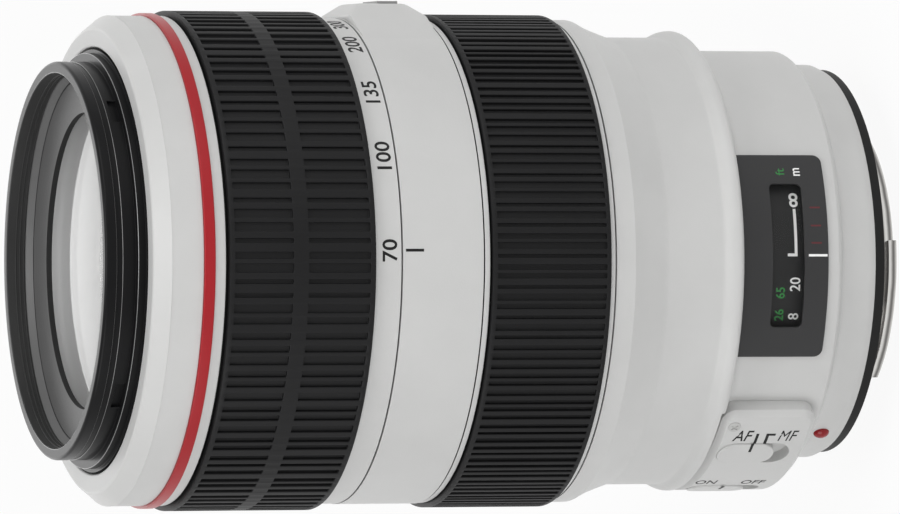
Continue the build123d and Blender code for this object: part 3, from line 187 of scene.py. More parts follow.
def merged_copy(node, name, width=0.0, rings=()):
    """A copy of a solid's mesh with its seams merged, its edges broken and its shading smooth.
    The rings are circular edges, by radius and height, that each get a rounding of their own."""
    piece = nodes[node].copy()
    piece.data = nodes[node].data.copy()
    piece.name = piece.data.name = name
    for key in list(piece.keys()):
        del piece[key]
    piece.parent = None
    bpy.context.scene.collection.objects.link(piece)
    alone(piece)
    bpy.ops.object.mode_set(mode="EDIT")
    bpy.ops.mesh.select_all(action="SELECT")
    bpy.ops.mesh.remove_doubles(threshold=0.0005 * mm)
    bpy.ops.mesh.dissolve_limited(angle_limit=radians(0.5))
    bpy.ops.mesh.select_mode(type="EDGE")
    bpy.ops.object.mode_set(mode="OBJECT")
    for radius, height, rounding in rings:
        bpy.ops.object.mode_set(mode="EDIT")
        bpy.ops.mesh.select_all(action="DESELECT")
        bpy.ops.object.mode_set(mode="OBJECT")
        for edge in piece.data.edges:
            ends = [piece.data.vertices[i].co for i in edge.vertices]
            edge.select = all(near_ring(end, radius, height, 0.03 * mm) for end in ends)
        bpy.ops.object.mode_set(mode="EDIT")
        bpy.ops.mesh.bevel(offset=rounding, segments=5, affect="EDGES")
        bpy.ops.object.mode_set(mode="OBJECT")
    return soften(piece, width)


def set_back(piece, height, distance):
    """Moves one end of a ring along the axis, to open the gap to the next ring."""
    for vertex in piece.data.vertices:
        if abs(vertex.co.z - height) < 0.3 * mm:
            vertex.co.z += distance


def paint(piece, material, chosen):
    """Gives the chosen faces of a piece a second finish."""
    piece.data.materials.append(material)
    for face in piece.data.polygons:
        if chosen(face):
            face.material_index = len(piece.data.materials) - 1


def faces_axis(face):
    """Whether a face looks at the optical axis, as the inside of a tube does."""
    x, y = face.center.xy
    return face.normal.x * x + face.normal.y * y < -0.5 * hypot(x, y)


def fit(piece, material, body, slot, *replaced):
    """Gives a piece its finish, the body that it moves with and the solids that it stands for."""
    dress(piece, material)
    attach(piece, body)
    if replaced:
        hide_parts(*replaced)
    return piece


def painted_reflection_bands(material, dark, light, spacing):
    """Painted reflection: dark and bright bands along the axis in the base colour, standing in for what
    polished steel mirrors.
    """
    tree = material.node_tree
    place = next(n for n in tree.nodes if n.type == "TEX_COORD")
    bands = tree.nodes.new("ShaderNodeTexWave")
    bands.wave_type = "BANDS"
    bands.bands_direction = "Z"
    bands.inputs["Scale"].default_value = pi / (10 * spacing)
    bands.inputs["Distortion"].default_value = 0.6
    tones = tree.nodes.new("ShaderNodeValToRGB")
    tones.color_ramp.elements[0].color = dark + (1,)
    tones.color_ramp.elements[1].color = light + (1,)
    tree.links.new(place.outputs["Object"], bands.inputs["Vector"])
    tree.links.new(bands.outputs["Fac"], tones.inputs["Fac"])
    tree.links.new(tones.outputs["Color"], tree.nodes["Principled BSDF"].inputs["Base Color"])
    return material


mount_steel = surface(
    "mount_steel", (0.6, 0.59, 0.57),
    roughness=0.18, grain=0.25 * mm, depth=0.001 * mm, metallic=1.0,
)
add_turning_marks(mount_steel, spacing=0.18 * mm, depth=0.0012 * mm)
# Painted reflection: the mount steel's base colour gets dark and bright bands along the axis.
painted_reflection_bands(mount_steel, dark=(0.16, 0.155, 0.15), light=(0.68, 0.67, 0.65), spacing=1.3 * mm)
bayonet = merged_copy("bayonet_mount", "bayonet_ring", width=0.12 * mm)
fit(bayonet, mount_steel, "lens_barrel", "mount_steel", "bayonet_mount")

screw_steel = surface(
    "screw_steel", (0.5, 0.49, 0.47),
    roughness=0.3, grain=0.2 * mm, depth=0.001 * mm, metallic=1.0,
)


def cross_screw(name, head_radius, head_height, place, outward, body, material):
    """A small round-headed screw with a cross recess, seated on a face."""
    bpy.ops.object.select_all(action="DESELECT")
    bpy.ops.mesh.primitive_cylinder_add(vertices=32, radius=head_radius, depth=head_height)
    screw = bpy.context.object
    screw.name = screw.data.name = name
    soften(screw, head_height * 0.3, steps=3)
    bpy.ops.object.select_all(action="DESELECT")
    arms = []
    for turn in (0, pi / 2):
        bpy.ops.mesh.primitive_cube_add(size=1, location=(0, 0, head_height * 0.5), rotation=(0, 0, turn))
        arm = bpy.context.object
        arm.scale = (head_radius * 1.25, head_radius * 0.28, head_height * 0.9)
        bpy.ops.object.transform_apply(location=True, rotation=True, scale=True)
        arms.append(arm)
    for arm in arms:
        cut = screw.modifiers.new("recess", "BOOLEAN")
        cut.operation = "DIFFERENCE"
        cut.object = arm
        alone(screw)
        bpy.ops.object.modifier_apply(modifier=cut.name)
        bpy.data.objects.remove(arm)
    turn = Vector((0, 0, 1)).rotation_difference(outward).to_matrix().to_4x4()
    screw.data.transform(Matrix.Translation(place) @ turn)
    return fit(screw, material, body, "mount_steel")


screw_circle_radius = 30.6 * mm
screw_head_radius = 1.15 * mm
screw_head_height = 0.24 * mm
screw_seat = 0.1 * mm
rearwards = Vector((0, 0, -1))
for number, side in enumerate((38, 128, 218, 308)):
    turn = radians(side)
    place = Vector((screw_circle_radius * sin(turn), -screw_circle_radius * cos(turn), screw_seat))
    name = f"mount_screw_{number + 1}"
    cross_screw(name, screw_head_radius, screw_head_height, place, rearwards, "lens_barrel", screw_steel)

# Mount gasket
# A soft rubber ring round the flange. Its thin lip meets the camera body and keeps
# dust and rain out, so it is the lens's black line in front of the steel.
gasket_rubber = surface(
    "gasket_rubber", (0.008, 0.008, 0.008),
    roughness=0.55, grain=0.2 * mm, depth=0.003 * mm, mottle=0.1, specular=0.2,
)
gasket = merged_copy("mount_gasket", "gasket_ring", width=0.12 * mm)
fit(gasket, gasket_rubber, "lens_barrel", "gasket_rubber", "mount_gasket")

# Rear baffle and contacts
# A blackened plate frames the light's way out. The contact block is moulded and holds
# nine gold-plated spring pins with domed ends.
baffle_black = surface(
    "baffle_black", (0.016, 0.016, 0.017),
    roughness=0.62, grain=0.3 * mm, depth=0.004 * mm, mottle=0.1,
)
contact_gold = surface(
    "contact_gold", (0.83, 0.6, 0.26),
    roughness=0.22, grain=0.2 * mm, depth=0.0008 * mm, metallic=1.0,
)
baffle = merged_copy("rear_baffle", "light_baffle", width=0.15 * mm)
fit(baffle, baffle_black, "lens_barrel", "black_plastic", "rear_baffle")
block_black = surface(
    "block_black", (0.022, 0.022, 0.023),
    roughness=0.48, grain=0.25 * mm, depth=0.004 * mm, mottle=0.08,
)
block = merged_copy("contact_block", "contact_holder", width=0.1 * mm)
fit(block, block_black, "lens_barrel", "black_plastic", "contact_block")
pins = merged_copy("contact_pins", "contact_tips")
fit(pins, contact_gold, "lens_barrel", "contact_gold", "contact_pins")

# Rear group and stabilizer
# A black cell with three coated elements behind the stabilizer, whose lens frame
# slides on two crossed pairs of rails in a moulded housing.
cell_black = surface(
    "cell_black", (0.02, 0.02, 0.021),
    roughness=0.42, grain=0.3 * mm, depth=0.002 * mm, mottle=0.08,
)
add_turning_marks(cell_black, spacing=0.4 * mm, depth=0.002 * mm, bands="BANDS")
moulded_black = surface(
    "moulded_black", (0.025, 0.025, 0.026),
    roughness=0.5, grain=0.35 * mm, depth=0.006 * mm, mottle=0.08,
)
tint_size = 30 * mm


def coated_glass(name, tint, reflection, clearness=1.0, bloom=0.0):
    """Clear glass with a coating's faint colour and its pale bloom at a low angle."""
    material = bpy.data.materials.new(name)
    material.use_nodes = True
    tree = material.node_tree
    shader = tree.nodes["Principled BSDF"]
    shader.inputs["Transmission Weight"].default_value = clearness
    shader.inputs["IOR"].default_value = reflection
    shader.inputs["Roughness"].default_value = 0.0
    shader.inputs["Sheen Weight"].default_value = bloom
    shader.inputs["Sheen Roughness"].default_value = 0.4
    place = tree.nodes.new("ShaderNodeTexCoord")
    clouds = tree.nodes.new("ShaderNodeTexNoise")
    clouds.inputs["Scale"].default_value = 1 / tint_size
    coating = tree.nodes.new("ShaderNodeValToRGB")
    coating.color_ramp.elements[0].color = tint + (1,)
    coating.color_ramp.elements[1].color = tuple(min(1, c * 1.04) for c in tint) + (1,)
    tree.links.new(place.outputs["Object"], clouds.inputs["Vector"])
    tree.links.new(clouds.outputs["Fac"], coating.inputs["Fac"])
    tree.links.new(coating.outputs["Color"], shader.inputs["Base Color"])
    return material


element_glass = coated_glass("element_glass", tint=(0.93, 0.95, 0.93), reflection=1.6)
dress(nodes["rear_group_cell"], cell_black)
for node in ("stabilizer_housing", "stabilizer_carriage", "stabilizer_lens_frame"):
    dress(nodes[node], moulded_black)
rear_glass = merged_copy("rear_elements", "rear_glass")
fit(rear_glass, element_glass, "lens_barrel", "coated_glass", "rear_elements")
stabilizer_glass = merged_copy("stabilizer_elements", "stabilizer_glass")
fit(stabilizer_glass, element_glass, "stabilizer_lens", "coated_glass", "stabilizer_elements")

# Inner barrel, focus motor and circuit board
# The inner barrel carries the rear group and the stabilizer. Round it run the ring
# motor's toothed stator and its rotor, the scale drum and the brass focus cam.
motor_steel = surface(
    "motor_steel", (0.42, 0.4, 0.36),
    roughness=0.34, grain=0.2 * mm, depth=0.002 * mm, metallic=1.0,
)
cam_brass = surface(
    "cam_brass", (0.66, 0.5, 0.25),
    roughness=0.3, grain=0.2 * mm, depth=0.001 * mm, metallic=1.0,
)
board_green = surface(
    "board_green", (0.02, 0.14, 0.05),
    roughness=0.4, grain=0.4 * mm, depth=0.004 * mm, mottle=0.15,
)
roller_white = surface("roller_white", (0.7, 0.7, 0.66), roughness=0.35, grain=0.2 * mm, depth=0.002 * mm)
dress(nodes["inner_barrel"], moulded_black)
dress(nodes["motor_stator"], motor_steel)
dress(nodes["motor_rotor"], motor_steel)
dress(nodes["main_circuit_board"], board_green)
dress(nodes["focus_cam"], cam_brass)
dress(nodes["focus_cell"], cell_black)
dress(nodes["focus_rollers"], roller_white)
dress(nodes["focus_elements"], element_glass)

# Scale housing
# The rear shell of the lens, a moulding in white enamel with a step down to the mount.
# It holds the distance window on top and the red dot that lines up with the camera's.
white_enamel = surface(
    "white_enamel", (0.6, 0.6, 0.593),
    roughness=0.45, grain=0.3 * mm, depth=0.012 * mm, mottle=0.025, specular=0.4,
)
seam_height = 26.6 * mm
seam_shift = 0.7 * mm
housing = merged_copy("scale_housing", "scale_housing_shell", width=0.15 * mm)
set_back(housing, seam_height, seam_shift + 0.02 * mm)
fit(housing, white_enamel, "lens_barrel", "white_paint", "scale_housing")


def ring_place(radius, side, height):
    """The point on a tube at a side angle, and the direction outwards there."""
    turn = radians(side)
    outward = Vector((sin(turn), -cos(turn), 0))
    return outward * radius + Vector((0, 0, height)), outward


def wrap(piece, radius, side, height):
    """Lays a flat piece, drawn round the tube in X and forwards in Y, on the tube."""
    for vertex in piece.data.vertices:
        x, y, z = vertex.co
        vertex.co = ring_place(radius + z, side + x / radius * 180 / pi, height + y)[0]
    return piece


dot_red = surface(
    "dot_red", (0.27, 0.006, 0.01),
    roughness=0.22, grain=0.3 * mm, depth=0.001 * mm, specular=0.3,
)
foot_radius = 35.5 * mm
dot_radius = 1.42 * mm
dot_flatness = 0.62
dot_side = -60.1
dot_height = 5.4 * mm
bpy.ops.object.select_all(action="DESELECT")
bpy.ops.mesh.primitive_uv_sphere_add(segments=40, ring_count=20, radius=dot_radius)
mount_dot = bpy.context.object
mount_dot.name = mount_dot.data.name = "mount_index_dot"
for vertex in mount_dot.data.vertices:
    vertex.co.z *= dot_flatness
wrap(mount_dot, foot_radius, dot_side, dot_height)
soften(mount_dot, 0)
fit(mount_dot, dot_red, "lens_barrel", "red_ring")

# Distance scale
# A black drum under the window, turned by the focus motor or ring. Its white and green
# numbers give the distance in metres and in feet.
scale_black = surface(
    "scale_black", (0.012, 0.012, 0.012),
    roughness=0.5, grain=0.3 * mm, depth=0.0004 * mm, mottle=0.05, specular=0.3,
)
print_white = surface(
    "print_white", (0.96, 0.96, 0.95),
    roughness=0.5, grain=0.3 * mm, depth=0.001 * mm, mottle=0.02,
)
print_green = surface("print_green", (0.02, 0.24, 0.045), roughness=0.5, grain=0.3 * mm, depth=0.001 * mm)
drum = merged_copy("distance_scale_drum", "distance_drum", width=0.05 * mm)
fit(drum, scale_black, "focus_drive", "black_anodised", "distance_scale_drum")
drum_print_radius = 36.12 * mm
print_height = 0.02 * mm


def printed(name, words, size, radius, side, height, turn=0.0, slant=0.0, stretch=1.0, weight=0.0):
    """A word or number printed on a tube, read round it, or along it when turned."""
    bpy.ops.object.select_all(action="DESELECT")
    bpy.ops.object.text_add()
    word = bpy.context.object
    word.data.body = words
    word.data.size = size
    word.data.shear = slant
    word.data.align_x = "CENTER"
    word.data.align_y = "CENTER"
    word.data.extrude = print_height
    word.data.offset = weight
    word.data.resolution_u = 4
    bpy.ops.object.convert(target="MESH")
    word = bpy.context.object
    word.name = word.data.name = name
    word.data.transform(Matrix.Rotation(radians(turn), 4, "Z") @ Matrix.Diagonal((stretch, 1, 1, 1)))
    return wrap(word, radius, side, height)


def block_of(name, middle, size):
    """A plain block of a size round its middle."""
    bpy.ops.object.select_all(action="DESELECT")
    bpy.ops.mesh.primitive_cube_add(size=1)
    block = bpy.context.object
    block.name = block.data.name = name
    block.data.transform(Matrix.Translation(middle) @ Matrix.Diagonal((*size, 1)))
    return block


def stroke(name, points, width, radius, side, height):
    """A printed line through a few points, given in millimetres round the tube and along it."""
    bars = []
    for (x0, y0), (x1, y1) in zip(points, points[1:]):
        start, end = Vector((x0, y0, 0)) * mm, Vector((x1, y1, 0)) * mm
        run = end - start
        bar = alone(block_of("bar", (0, 0, 0), (run.length + width * 0.98, width, 2 * print_height)))
        bpy.ops.object.mode_set(mode="EDIT")
        bpy.ops.mesh.select_all(action="SELECT")
        bpy.ops.mesh.subdivide(number_cuts=6)
        bpy.ops.object.mode_set(mode="OBJECT")
        slope = Vector((1, 0, 0)).rotation_difference(run).to_matrix().to_4x4()
        bar.data.transform(Matrix.Translation((start + end) / 2) @ slope)
        bars.append(bar)
    return wrap(joined(name, bars), radius, side, height)


def joined(name, parts):
    """One object of several, under a name of its own."""
    bpy.ops.object.select_all(action="DESELECT")
    for part in parts:
        part.select_set(True)
    bpy.context.view_layer.objects.active = parts[0]
    if len(parts) > 1:
        bpy.ops.object.join()
    whole = bpy.context.object
    whole.name = whole.data.name = name
    return whole


metre_height = 16.5 * mm
foot_height = 19.2 * mm
number_size = 2.7 * mm
foot_size = number_size * 0.85
bold = 0.03 * mm
bolder = 0.05 * mm
metre_marks = (("20", -6.6), ("8", -15.8), ("5", -27), ("3", -45), ("2", -66), ("1.5", -88), ("1.2", -112))
foot_marks = (("65", -9.0), ("26", -15.4), ("16", -27), ("10", -45), ("7", -66), ("5", -88), ("4", -112))
metre_print = [
    printed(words, words, number_size, drum_print_radius, side, metre_height, stretch=0.95, weight=bold)
    for words, side in metre_marks
]
infinity_size = number_size * 1.35
infinity_side = 17.6
bar_side = 1.7
bar_points = ((0, 1.3), (0, 0), (8.0, 0))
bar_width = 0.52 * mm
infinity = printed(
    "infinity", "8", infinity_size, drum_print_radius, infinity_side, metre_height, turn=90, weight=bolder
)
infinity_bar = stroke("infinity_bar", bar_points, bar_width, drum_print_radius, bar_side, metre_height)
metre_scale = joined("metre_scale", [*metre_print, infinity, infinity_bar])
fit(metre_scale, print_white, "focus_drive", "black_anodised")
foot_print = [
    printed(words, words, foot_size, drum_print_radius, side, foot_height, stretch=0.95, weight=bold)
    for words, side in foot_marks
]
foot_scale = joined("foot_scale", foot_print)
fit(foot_scale, print_green, "focus_drive", "black_anodised")

# Distance window
# A clear pane under a thin black plate with a satin face. The plate carries the index
# line, the units and the faint infrared marks; the rest of it is bare.
plate_black = surface(
    "plate_black", (0.03, 0.03, 0.031),
    roughness=0.42, grain=0.3 * mm, depth=0.003 * mm, mottle=0.05, specular=0.3,
)
plate_low, plate_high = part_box("window_plate")
plate_radius = -plate_low.y
plate_thickness = 0.45 * mm


def flat_box(name, width, rear, front, low, high, corner, rear_only=False):
    """A flat box, drawn round the tube in X and forwards in Y, with rounded upright edges."""
    middle = (rear + front) / 2
    box = alone(block_of(name, (0, middle, (low + high) / 2), (width, front - rear, high - low)))
    bpy.ops.object.mode_set(mode="EDIT")
    bpy.ops.mesh.select_mode(type="EDGE")
    bpy.ops.mesh.select_all(action="DESELECT")
    bpy.ops.object.mode_set(mode="OBJECT")
    for edge in box.data.edges:
        a, b = (box.data.vertices[i].co for i in edge.vertices)
        edge.select = abs(a.z - b.z) > (high - low) / 2 and not (rear_only and a.y > middle)
    bpy.ops.object.mode_set(mode="EDIT")
    bpy.ops.mesh.bevel(offset=corner, segments=8, affect="EDGES")
    bpy.ops.object.mode_set(mode="OBJECT")
    return box


def combined(piece, tool, operation):
    """Cuts a piece with another, or keeps only what both share."""
    step = piece.modifiers.new("combined", "BOOLEAN")
    step.operation = operation
    step.object = tool
    alone(piece)
    bpy.ops.object.modifier_apply(modifier=step.name)
    bpy.data.objects.remove(tool)
    return piece


window_side = 1.5
cut_low, cut_high = -5 * mm, 5 * mm
plate_width = plate_radius * radians(55.6)
plate_front = plate_high.z + seam_shift - 0.05 * mm
blank_middle, blank_size = (0, 19 * mm, -plate_thickness / 2), (40 * mm, 20 * mm, plate_thickness)
plate = alone(block_of("window_frame", blank_middle, blank_size))
bpy.ops.object.mode_set(mode="EDIT")
bpy.ops.mesh.select_all(action="SELECT")
bpy.ops.mesh.subdivide(number_cuts=36)
bpy.ops.object.mode_set(mode="OBJECT")
plate_outline = flat_box(
    "plate_outline", plate_width, plate_low.z, plate_front, cut_low, cut_high, corner=1.5 * mm, rear_only=True
)
combined(plate, plate_outline, "INTERSECT")
opening_width = plate_radius * radians(38.8)
window_rear, window_front = 15.6 * mm, 21.6 * mm
opening = flat_box(
    "window_opening", opening_width, window_rear, window_front, cut_low, cut_high, corner=1.0 * mm
)
combined(plate, opening, "DIFFERENCE")
wrap(plate, plate_radius, window_side, height=0.0)
soften(plate, 0.06 * mm, angle=50)
fit(plate, plate_black, "lens_barrel", "black_plastic", "window_plate")
window_clear = surface(
    "window_clear", (0.05, 0.052, 0.055),
    roughness=0.06, grain=0.5 * mm, depth=0.0002 * mm, specular=0.5,
)
window_clear.node_tree.nodes["Principled BSDF"].inputs["Alpha"].default_value = 0.04
pane = merged_copy("window_glass", "window_pane")
fit(pane, window_clear, "lens_barrel", "window_clear", "window_glass")
unit_side = 24.3
index_height = 13.2 * mm
index_width = 0.42 * mm
unit_metre = printed(
    "unit_metre", "m", size=2.6 * mm, radius=plate_radius, side=unit_side, height=16.3 * mm,
    stretch=0.85, weight=bold,
)
index_line = stroke("index_line", ((0, -1.6), (0, 1.5)), index_width, plate_radius, window_side, index_height)
plate_print = joined("plate_print", [unit_metre, index_line])
fit(plate_print, print_white, "lens_barrel", "black_plastic")
unit_foot = printed(
    "unit_foot", "ft", size=2.3 * mm, radius=plate_radius, side=unit_side, height=19.1 * mm
)
fit(unit_foot, print_green, "lens_barrel", "black_plastic")
print_dark_red = surface(
    "print_dark_red", (0.09, 0.008, 0.012),
    roughness=0.5, grain=0.3 * mm, depth=0.001 * mm,
)
infrared_width = 0.3 * mm
infrared_height = 13.4 * mm
infrared = [
    stroke("infrared", ((0, -0.8), (0, 0.8)), infrared_width, plate_radius, side, infrared_height)
    for side in (4.8, 9.4, 14.3)
]
infrared_marks = joined("infrared_marks", infrared)
fit(infrared_marks, print_dark_red, "lens_barrel", "black_plastic")

# Main barrel
# One enamelled casting from the raised rim over the plain seat for a tripod ring to the
# taper. It goes on under the focus ring as a thin sleeve.
barrel = merged_copy("main_barrel", "barrel_shell", width=0.12 * mm)
rim_foot = 31.5 * mm
rim_fade = 1.6 * mm
for vertex in barrel.data.vertices:
    if vertex.co.z < rim_foot:
        vertex.co.z += seam_shift * min(1, (rim_foot - vertex.co.z) / rim_fade)
fit(barrel, white_enamel, "lens_barrel", "white_paint", "main_barrel")

# Switch panel and switches
# A raised pad in the barrel's own white, held by a small screw, with three long slots.
# The low knobs fill the slots but for their travel, and each has an index line.
panel = merged_copy("switch_panel", "switch_pad", width=0.12 * mm)
fit(panel, white_enamel, "lens_barrel", "white_plastic", "switch_panel")
print_black = surface(
    "print_black", (0.01, 0.01, 0.01),
    roughness=0.5, grain=0.3 * mm, depth=0.001 * mm, specular=0.2,
)
panel_radius = 41.3 * mm
knob_line_radius = panel_radius + 0.3 * mm
line_width = 0.5 * mm
switch_sides = (-56.3, -81.7, -107.0)
for node, side in zip(("focus_mode_switch", "stabilizer_switch", "stabilizer_mode_switch"), switch_sides):
    knob = merged_copy(node, f"{node}_knob", width=0.25 * mm)
    fit(knob, white_enamel, node, "white_plastic", node)
    knob_low, knob_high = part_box(node)
    line_height = (knob_low.z + knob_high.z) / 2 - 0.5 * mm
    line = stroke(f"{node}_line", ((1.2, 0), (3.2, 0)), line_width, knob_line_radius, side, line_height)
    fit(line, print_black, node, "white_plastic")
focus_legend = {"size": 4.1 * mm, "side": -49.2, "slant": 0.2}
stabilizer_legend = {"size": 3.4 * mm, "side": -74.2, "stretch": 0.76, "weight": bold}
mode_legend = {"size": 2.5 * mm, "side": -100.0, "weight": 0.04 * mm}
legend_rows = (
    ("AF", 23.5 * mm, {**focus_legend, "stretch": 0.7, "weight": bold}),
    ("MF", 15.1 * mm, {**focus_legend, "stretch": 0.66}),
    ("ON", 25.0 * mm, stabilizer_legend),
    ("OFF", 16.2 * mm, stabilizer_legend),
    ("1", 24.0 * mm, mode_legend),
    ("2", 17.0 * mm, mode_legend),
)
legends = [
    printed(words, words, radius=panel_radius, height=height, turn=-90, **style)
    for words, height, style in legend_rows
]
mark_side = -50.3
mark_af_points = ((-1.4, 0), (1.3, 0))
mark_mf_points = ((-1.4, 0.9), (1.3, 0.9), (1.3, -0.3))
mark_af = stroke(
    "mark_af", mark_af_points, width=0.52 * mm, radius=panel_radius, side=mark_side, height=20.7 * mm
)
mark_mf = stroke(
    "mark_mf", mark_mf_points, width=0.55 * mm, radius=panel_radius, side=mark_side, height=17.9 * mm
)
panel_print = joined("panel_print", [*legends, mark_af, mark_mf])
fit(panel_print, print_black, "lens_barrel", "white_plastic")
screw_white = surface("screw_white", (0.5, 0.5, 0.49), roughness=0.4, grain=0.2 * mm, depth=0.002 * mm)
panel_screw_height = 0.36 * mm
place, outward = ring_place(panel_radius + 0.02 * mm, side=-45.6, height=25.6 * mm)
cross_screw("panel_screw", screw_head_radius, panel_screw_height, place, outward, "lens_barrel", screw_white)

# Focus ring
# A white ring with a wide rubber sleeve, moulded with 153 narrow ribs. Its bare front
# edge shows as a thin white line next to the collar.
ring_gap = 0.15 * mm
sleeve_seat = 1.6 * mm
focus_core = merged_copy("focus_ring", "focus_ring_core", width=0.1 * mm)
focus_rear, focus_front = (corner.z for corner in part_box("focus_ring"))
set_back(focus_core, focus_front, -ring_gap)
set_back(focus_core, focus_rear, ring_gap)
fit(focus_core, white_enamel, "focus_ring", "white_paint", "focus_ring")
focus_low, focus_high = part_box("focus_rubber")
# Painted shade: the core's faces under the sleeve take the black rubber, so that the gap at the sleeve's
# front edge shows dark.
paint(focus_core, gasket_rubber, lambda face: hypot(*face.center.xy) < focus_high.x - sleeve_seat)
grip_rubber = surface(
    "grip_rubber", (0.0095, 0.0095, 0.01),
    roughness=0.5, grain=0.18 * mm, depth=0.006 * mm, mottle=0.12, specular=0.16,
)


def ribbed_sleeve(name, node, ribs, groove_depth, bore, bands, front_gap, rounding):
    """A rubber sleeve with grooves as wide as its ribs, cut in one or more bands."""
    faces_per_rib = 6
    low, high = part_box(node)
    outer = high.x
    front = high.z - front_gap
    steps = [low.z, *[height for band in bands for height in band], front]
    outline = [(bore, low.z)] + [(outer, height) for height in steps] + [(bore, front)]
    sleeve = turned(name, outline, ribs * faces_per_rib)
    column = 2 * pi / (ribs * faces_per_rib)
    alone(sleeve)
    bpy.ops.object.mode_set(mode="EDIT")
    bpy.ops.mesh.select_all(action="DESELECT")
    bpy.ops.mesh.select_mode(type="FACE")
    bpy.ops.object.mode_set(mode="OBJECT")
    for face in sleeve.data.polygons:
        x, y, height = face.center
        place = int(Vector((x, y)).angle_signed(Vector((1, 0))) / column + 2 * pi / column) % faces_per_rib
        outside = hypot(x, y) > outer - groove_depth / 2
        in_band = any(rear < height < front for rear, front in bands)
        face.select = outside and in_band and place < faces_per_rib / 2
    bpy.ops.object.mode_set(mode="EDIT")
    bpy.ops.mesh.extrude_region_shrink_fatten(TRANSFORM_OT_shrink_fatten={"value": -groove_depth})
    bpy.ops.object.mode_set(mode="OBJECT")
    return soften(sleeve, rounding, angle=35)


focus_sleeve = ribbed_sleeve(
    "focus_grip", "focus_rubber", ribs=153, groove_depth=0.6 * mm, bore=focus_high.x - 1.66 * mm,
    bands=[(focus_low.z + 0.8 * mm, focus_high.z - 1.2 * mm)], front_gap=0.35 * mm, rounding=0.13 * mm,
)
fit(focus_sleeve, grip_rubber, "focus_ring", "grip_rubber", "focus_rubber")

# Fixed center collar and zoom lock
# A wide white ring that never turns, with the zoom index line on top and a boss on the
# side for the lock's ribbed slide.
collar = merged_copy("center_collar", "center_collar_ring", width=0.12 * mm)
collar_low, collar_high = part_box("center_collar")
solid_boss_start = 43.42 * mm
inside_collar = 43.3 * mm
for vertex in collar.data.vertices:
    reach = hypot(vertex.co.x, vertex.co.y)
    if reach > solid_boss_start:
        vertex.co.x *= inside_collar / reach
        vertex.co.y *= inside_collar / reach
boss_top = (45.9 * mm, 5.6 * mm, 4.5 * mm)
boss_shoulder = (43.7 * mm, 9.6 * mm, 7.2 * mm)
boss_root = (38.2 * mm, 20.5 * mm, 7.2 * mm)
boss_middle = (collar_low.z + collar_high.z) / 2
bpy.ops.object.select_all(action="DESELECT")
boss_parts = []
for level, half_width, half_length in (boss_top, boss_shoulder, boss_root):
    bpy.ops.mesh.primitive_plane_add(size=2, location=(level, 0, boss_middle), rotation=(0, pi / 2, 0))
    corners = bpy.context.object
    corners.scale = (half_length, half_width, 1)
    bpy.ops.object.transform_apply(location=True, rotation=True, scale=True)
    boss_parts.append(corners)
boss = joined("lock_boss", boss_parts)
alone(boss)
bpy.ops.object.mode_set(mode="EDIT")
bpy.ops.mesh.select_all(action="SELECT")
bpy.ops.mesh.convex_hull()
bpy.ops.mesh.normals_make_consistent(inside=False)
bpy.ops.object.mode_set(mode="OBJECT")
slot_rear, slot_front = 80.55 * mm, 87.7 * mm
slot_middle = (46 * mm, 0, (slot_rear + slot_front) / 2)
slot = block_of("lever_slot", slot_middle, (3 * mm, 9.5 * mm, slot_front - slot_rear))
soften(boss, 1.0 * mm, steps=5, angle=8)
combined(boss, slot, "DIFFERENCE")
collar = joined("center_collar_ring", [collar, boss])
fit(collar, white_enamel, "lens_barrel", "white_paint", "center_collar")
collar_radius = -collar_low.y
zoom_index_points = ((0, -1.4), (0, 1.4))
zoom_index = stroke(
    "zoom_index", zoom_index_points, line_width, radius=collar_radius, side=2.5, height=89.3 * mm
)
fit(zoom_index, print_black, "lens_barrel", "white_paint")
lever_grey = surface(
    "lever_grey", (0.3, 0.3, 0.3),
    roughness=0.45, grain=0.25 * mm, depth=0.004 * mm, mottle=0.08,
)
lever = merged_copy("zoom_lock_lever", "lock_slide", width=0.1 * mm)
fit(lever, lever_grey, "zoom_lock_lever", "black_plastic", "zoom_lock_lever")

# Zoom mechanism
# The fixed guide tube has straight slots and the cam tube helical ones. The rollers of
# the extension barrel and of both inner groups run in both at once.
tube_black = surface(
    "tube_black", (0.024, 0.024, 0.025),
    roughness=0.36, grain=0.3 * mm, depth=0.002 * mm, mottle=0.08,
)
add_turning_marks(tube_black, spacing=0.3 * mm, depth=0.002 * mm, bands="BANDS")
screw_aluminium = surface(
    "screw_aluminium", (0.6, 0.6, 0.6),
    roughness=0.3, grain=0.2 * mm, depth=0.001 * mm, metallic=1.0,
)
dress(nodes["guide_tube"], tube_black)
dress(nodes["cam_tube"], tube_black)
dress(nodes["zoom_key_screws"], screw_aluminium)
for group in ("extension", "variator", "relay"):
    dress(nodes[f"{group}_rollers"], roller_white)
variator_ring = merged_copy("variator_cell", "variator_ring", width=0.1 * mm)
fit(variator_ring, cell_black, "variator", "black_anodised", "variator_cell")
variator_glass = merged_copy("variator_elements", "variator_glass")
fit(variator_glass, element_glass, "variator", "coated_glass", "variator_elements")
dress(nodes["relay_cell"], cell_black)
relay_glass = merged_copy("relay_elements", "relay_glass")
fit(relay_glass, element_glass, "relay", "coated_glass", "relay_elements")

# Iris
# Eight thin blackened blades on pivot pins, worked by a slotted ring that turns in the
# relay cell.
blade_black = surface(
    "blade_black", (0.03, 0.03, 0.03),
    roughness=0.38, grain=0.4 * mm, depth=0.001 * mm, mottle=0.1,
)
dress(nodes["iris_ring"], cell_black)
for number in range(1, 9):
    dress(nodes[f"iris_blade_{number}"], blade_black)

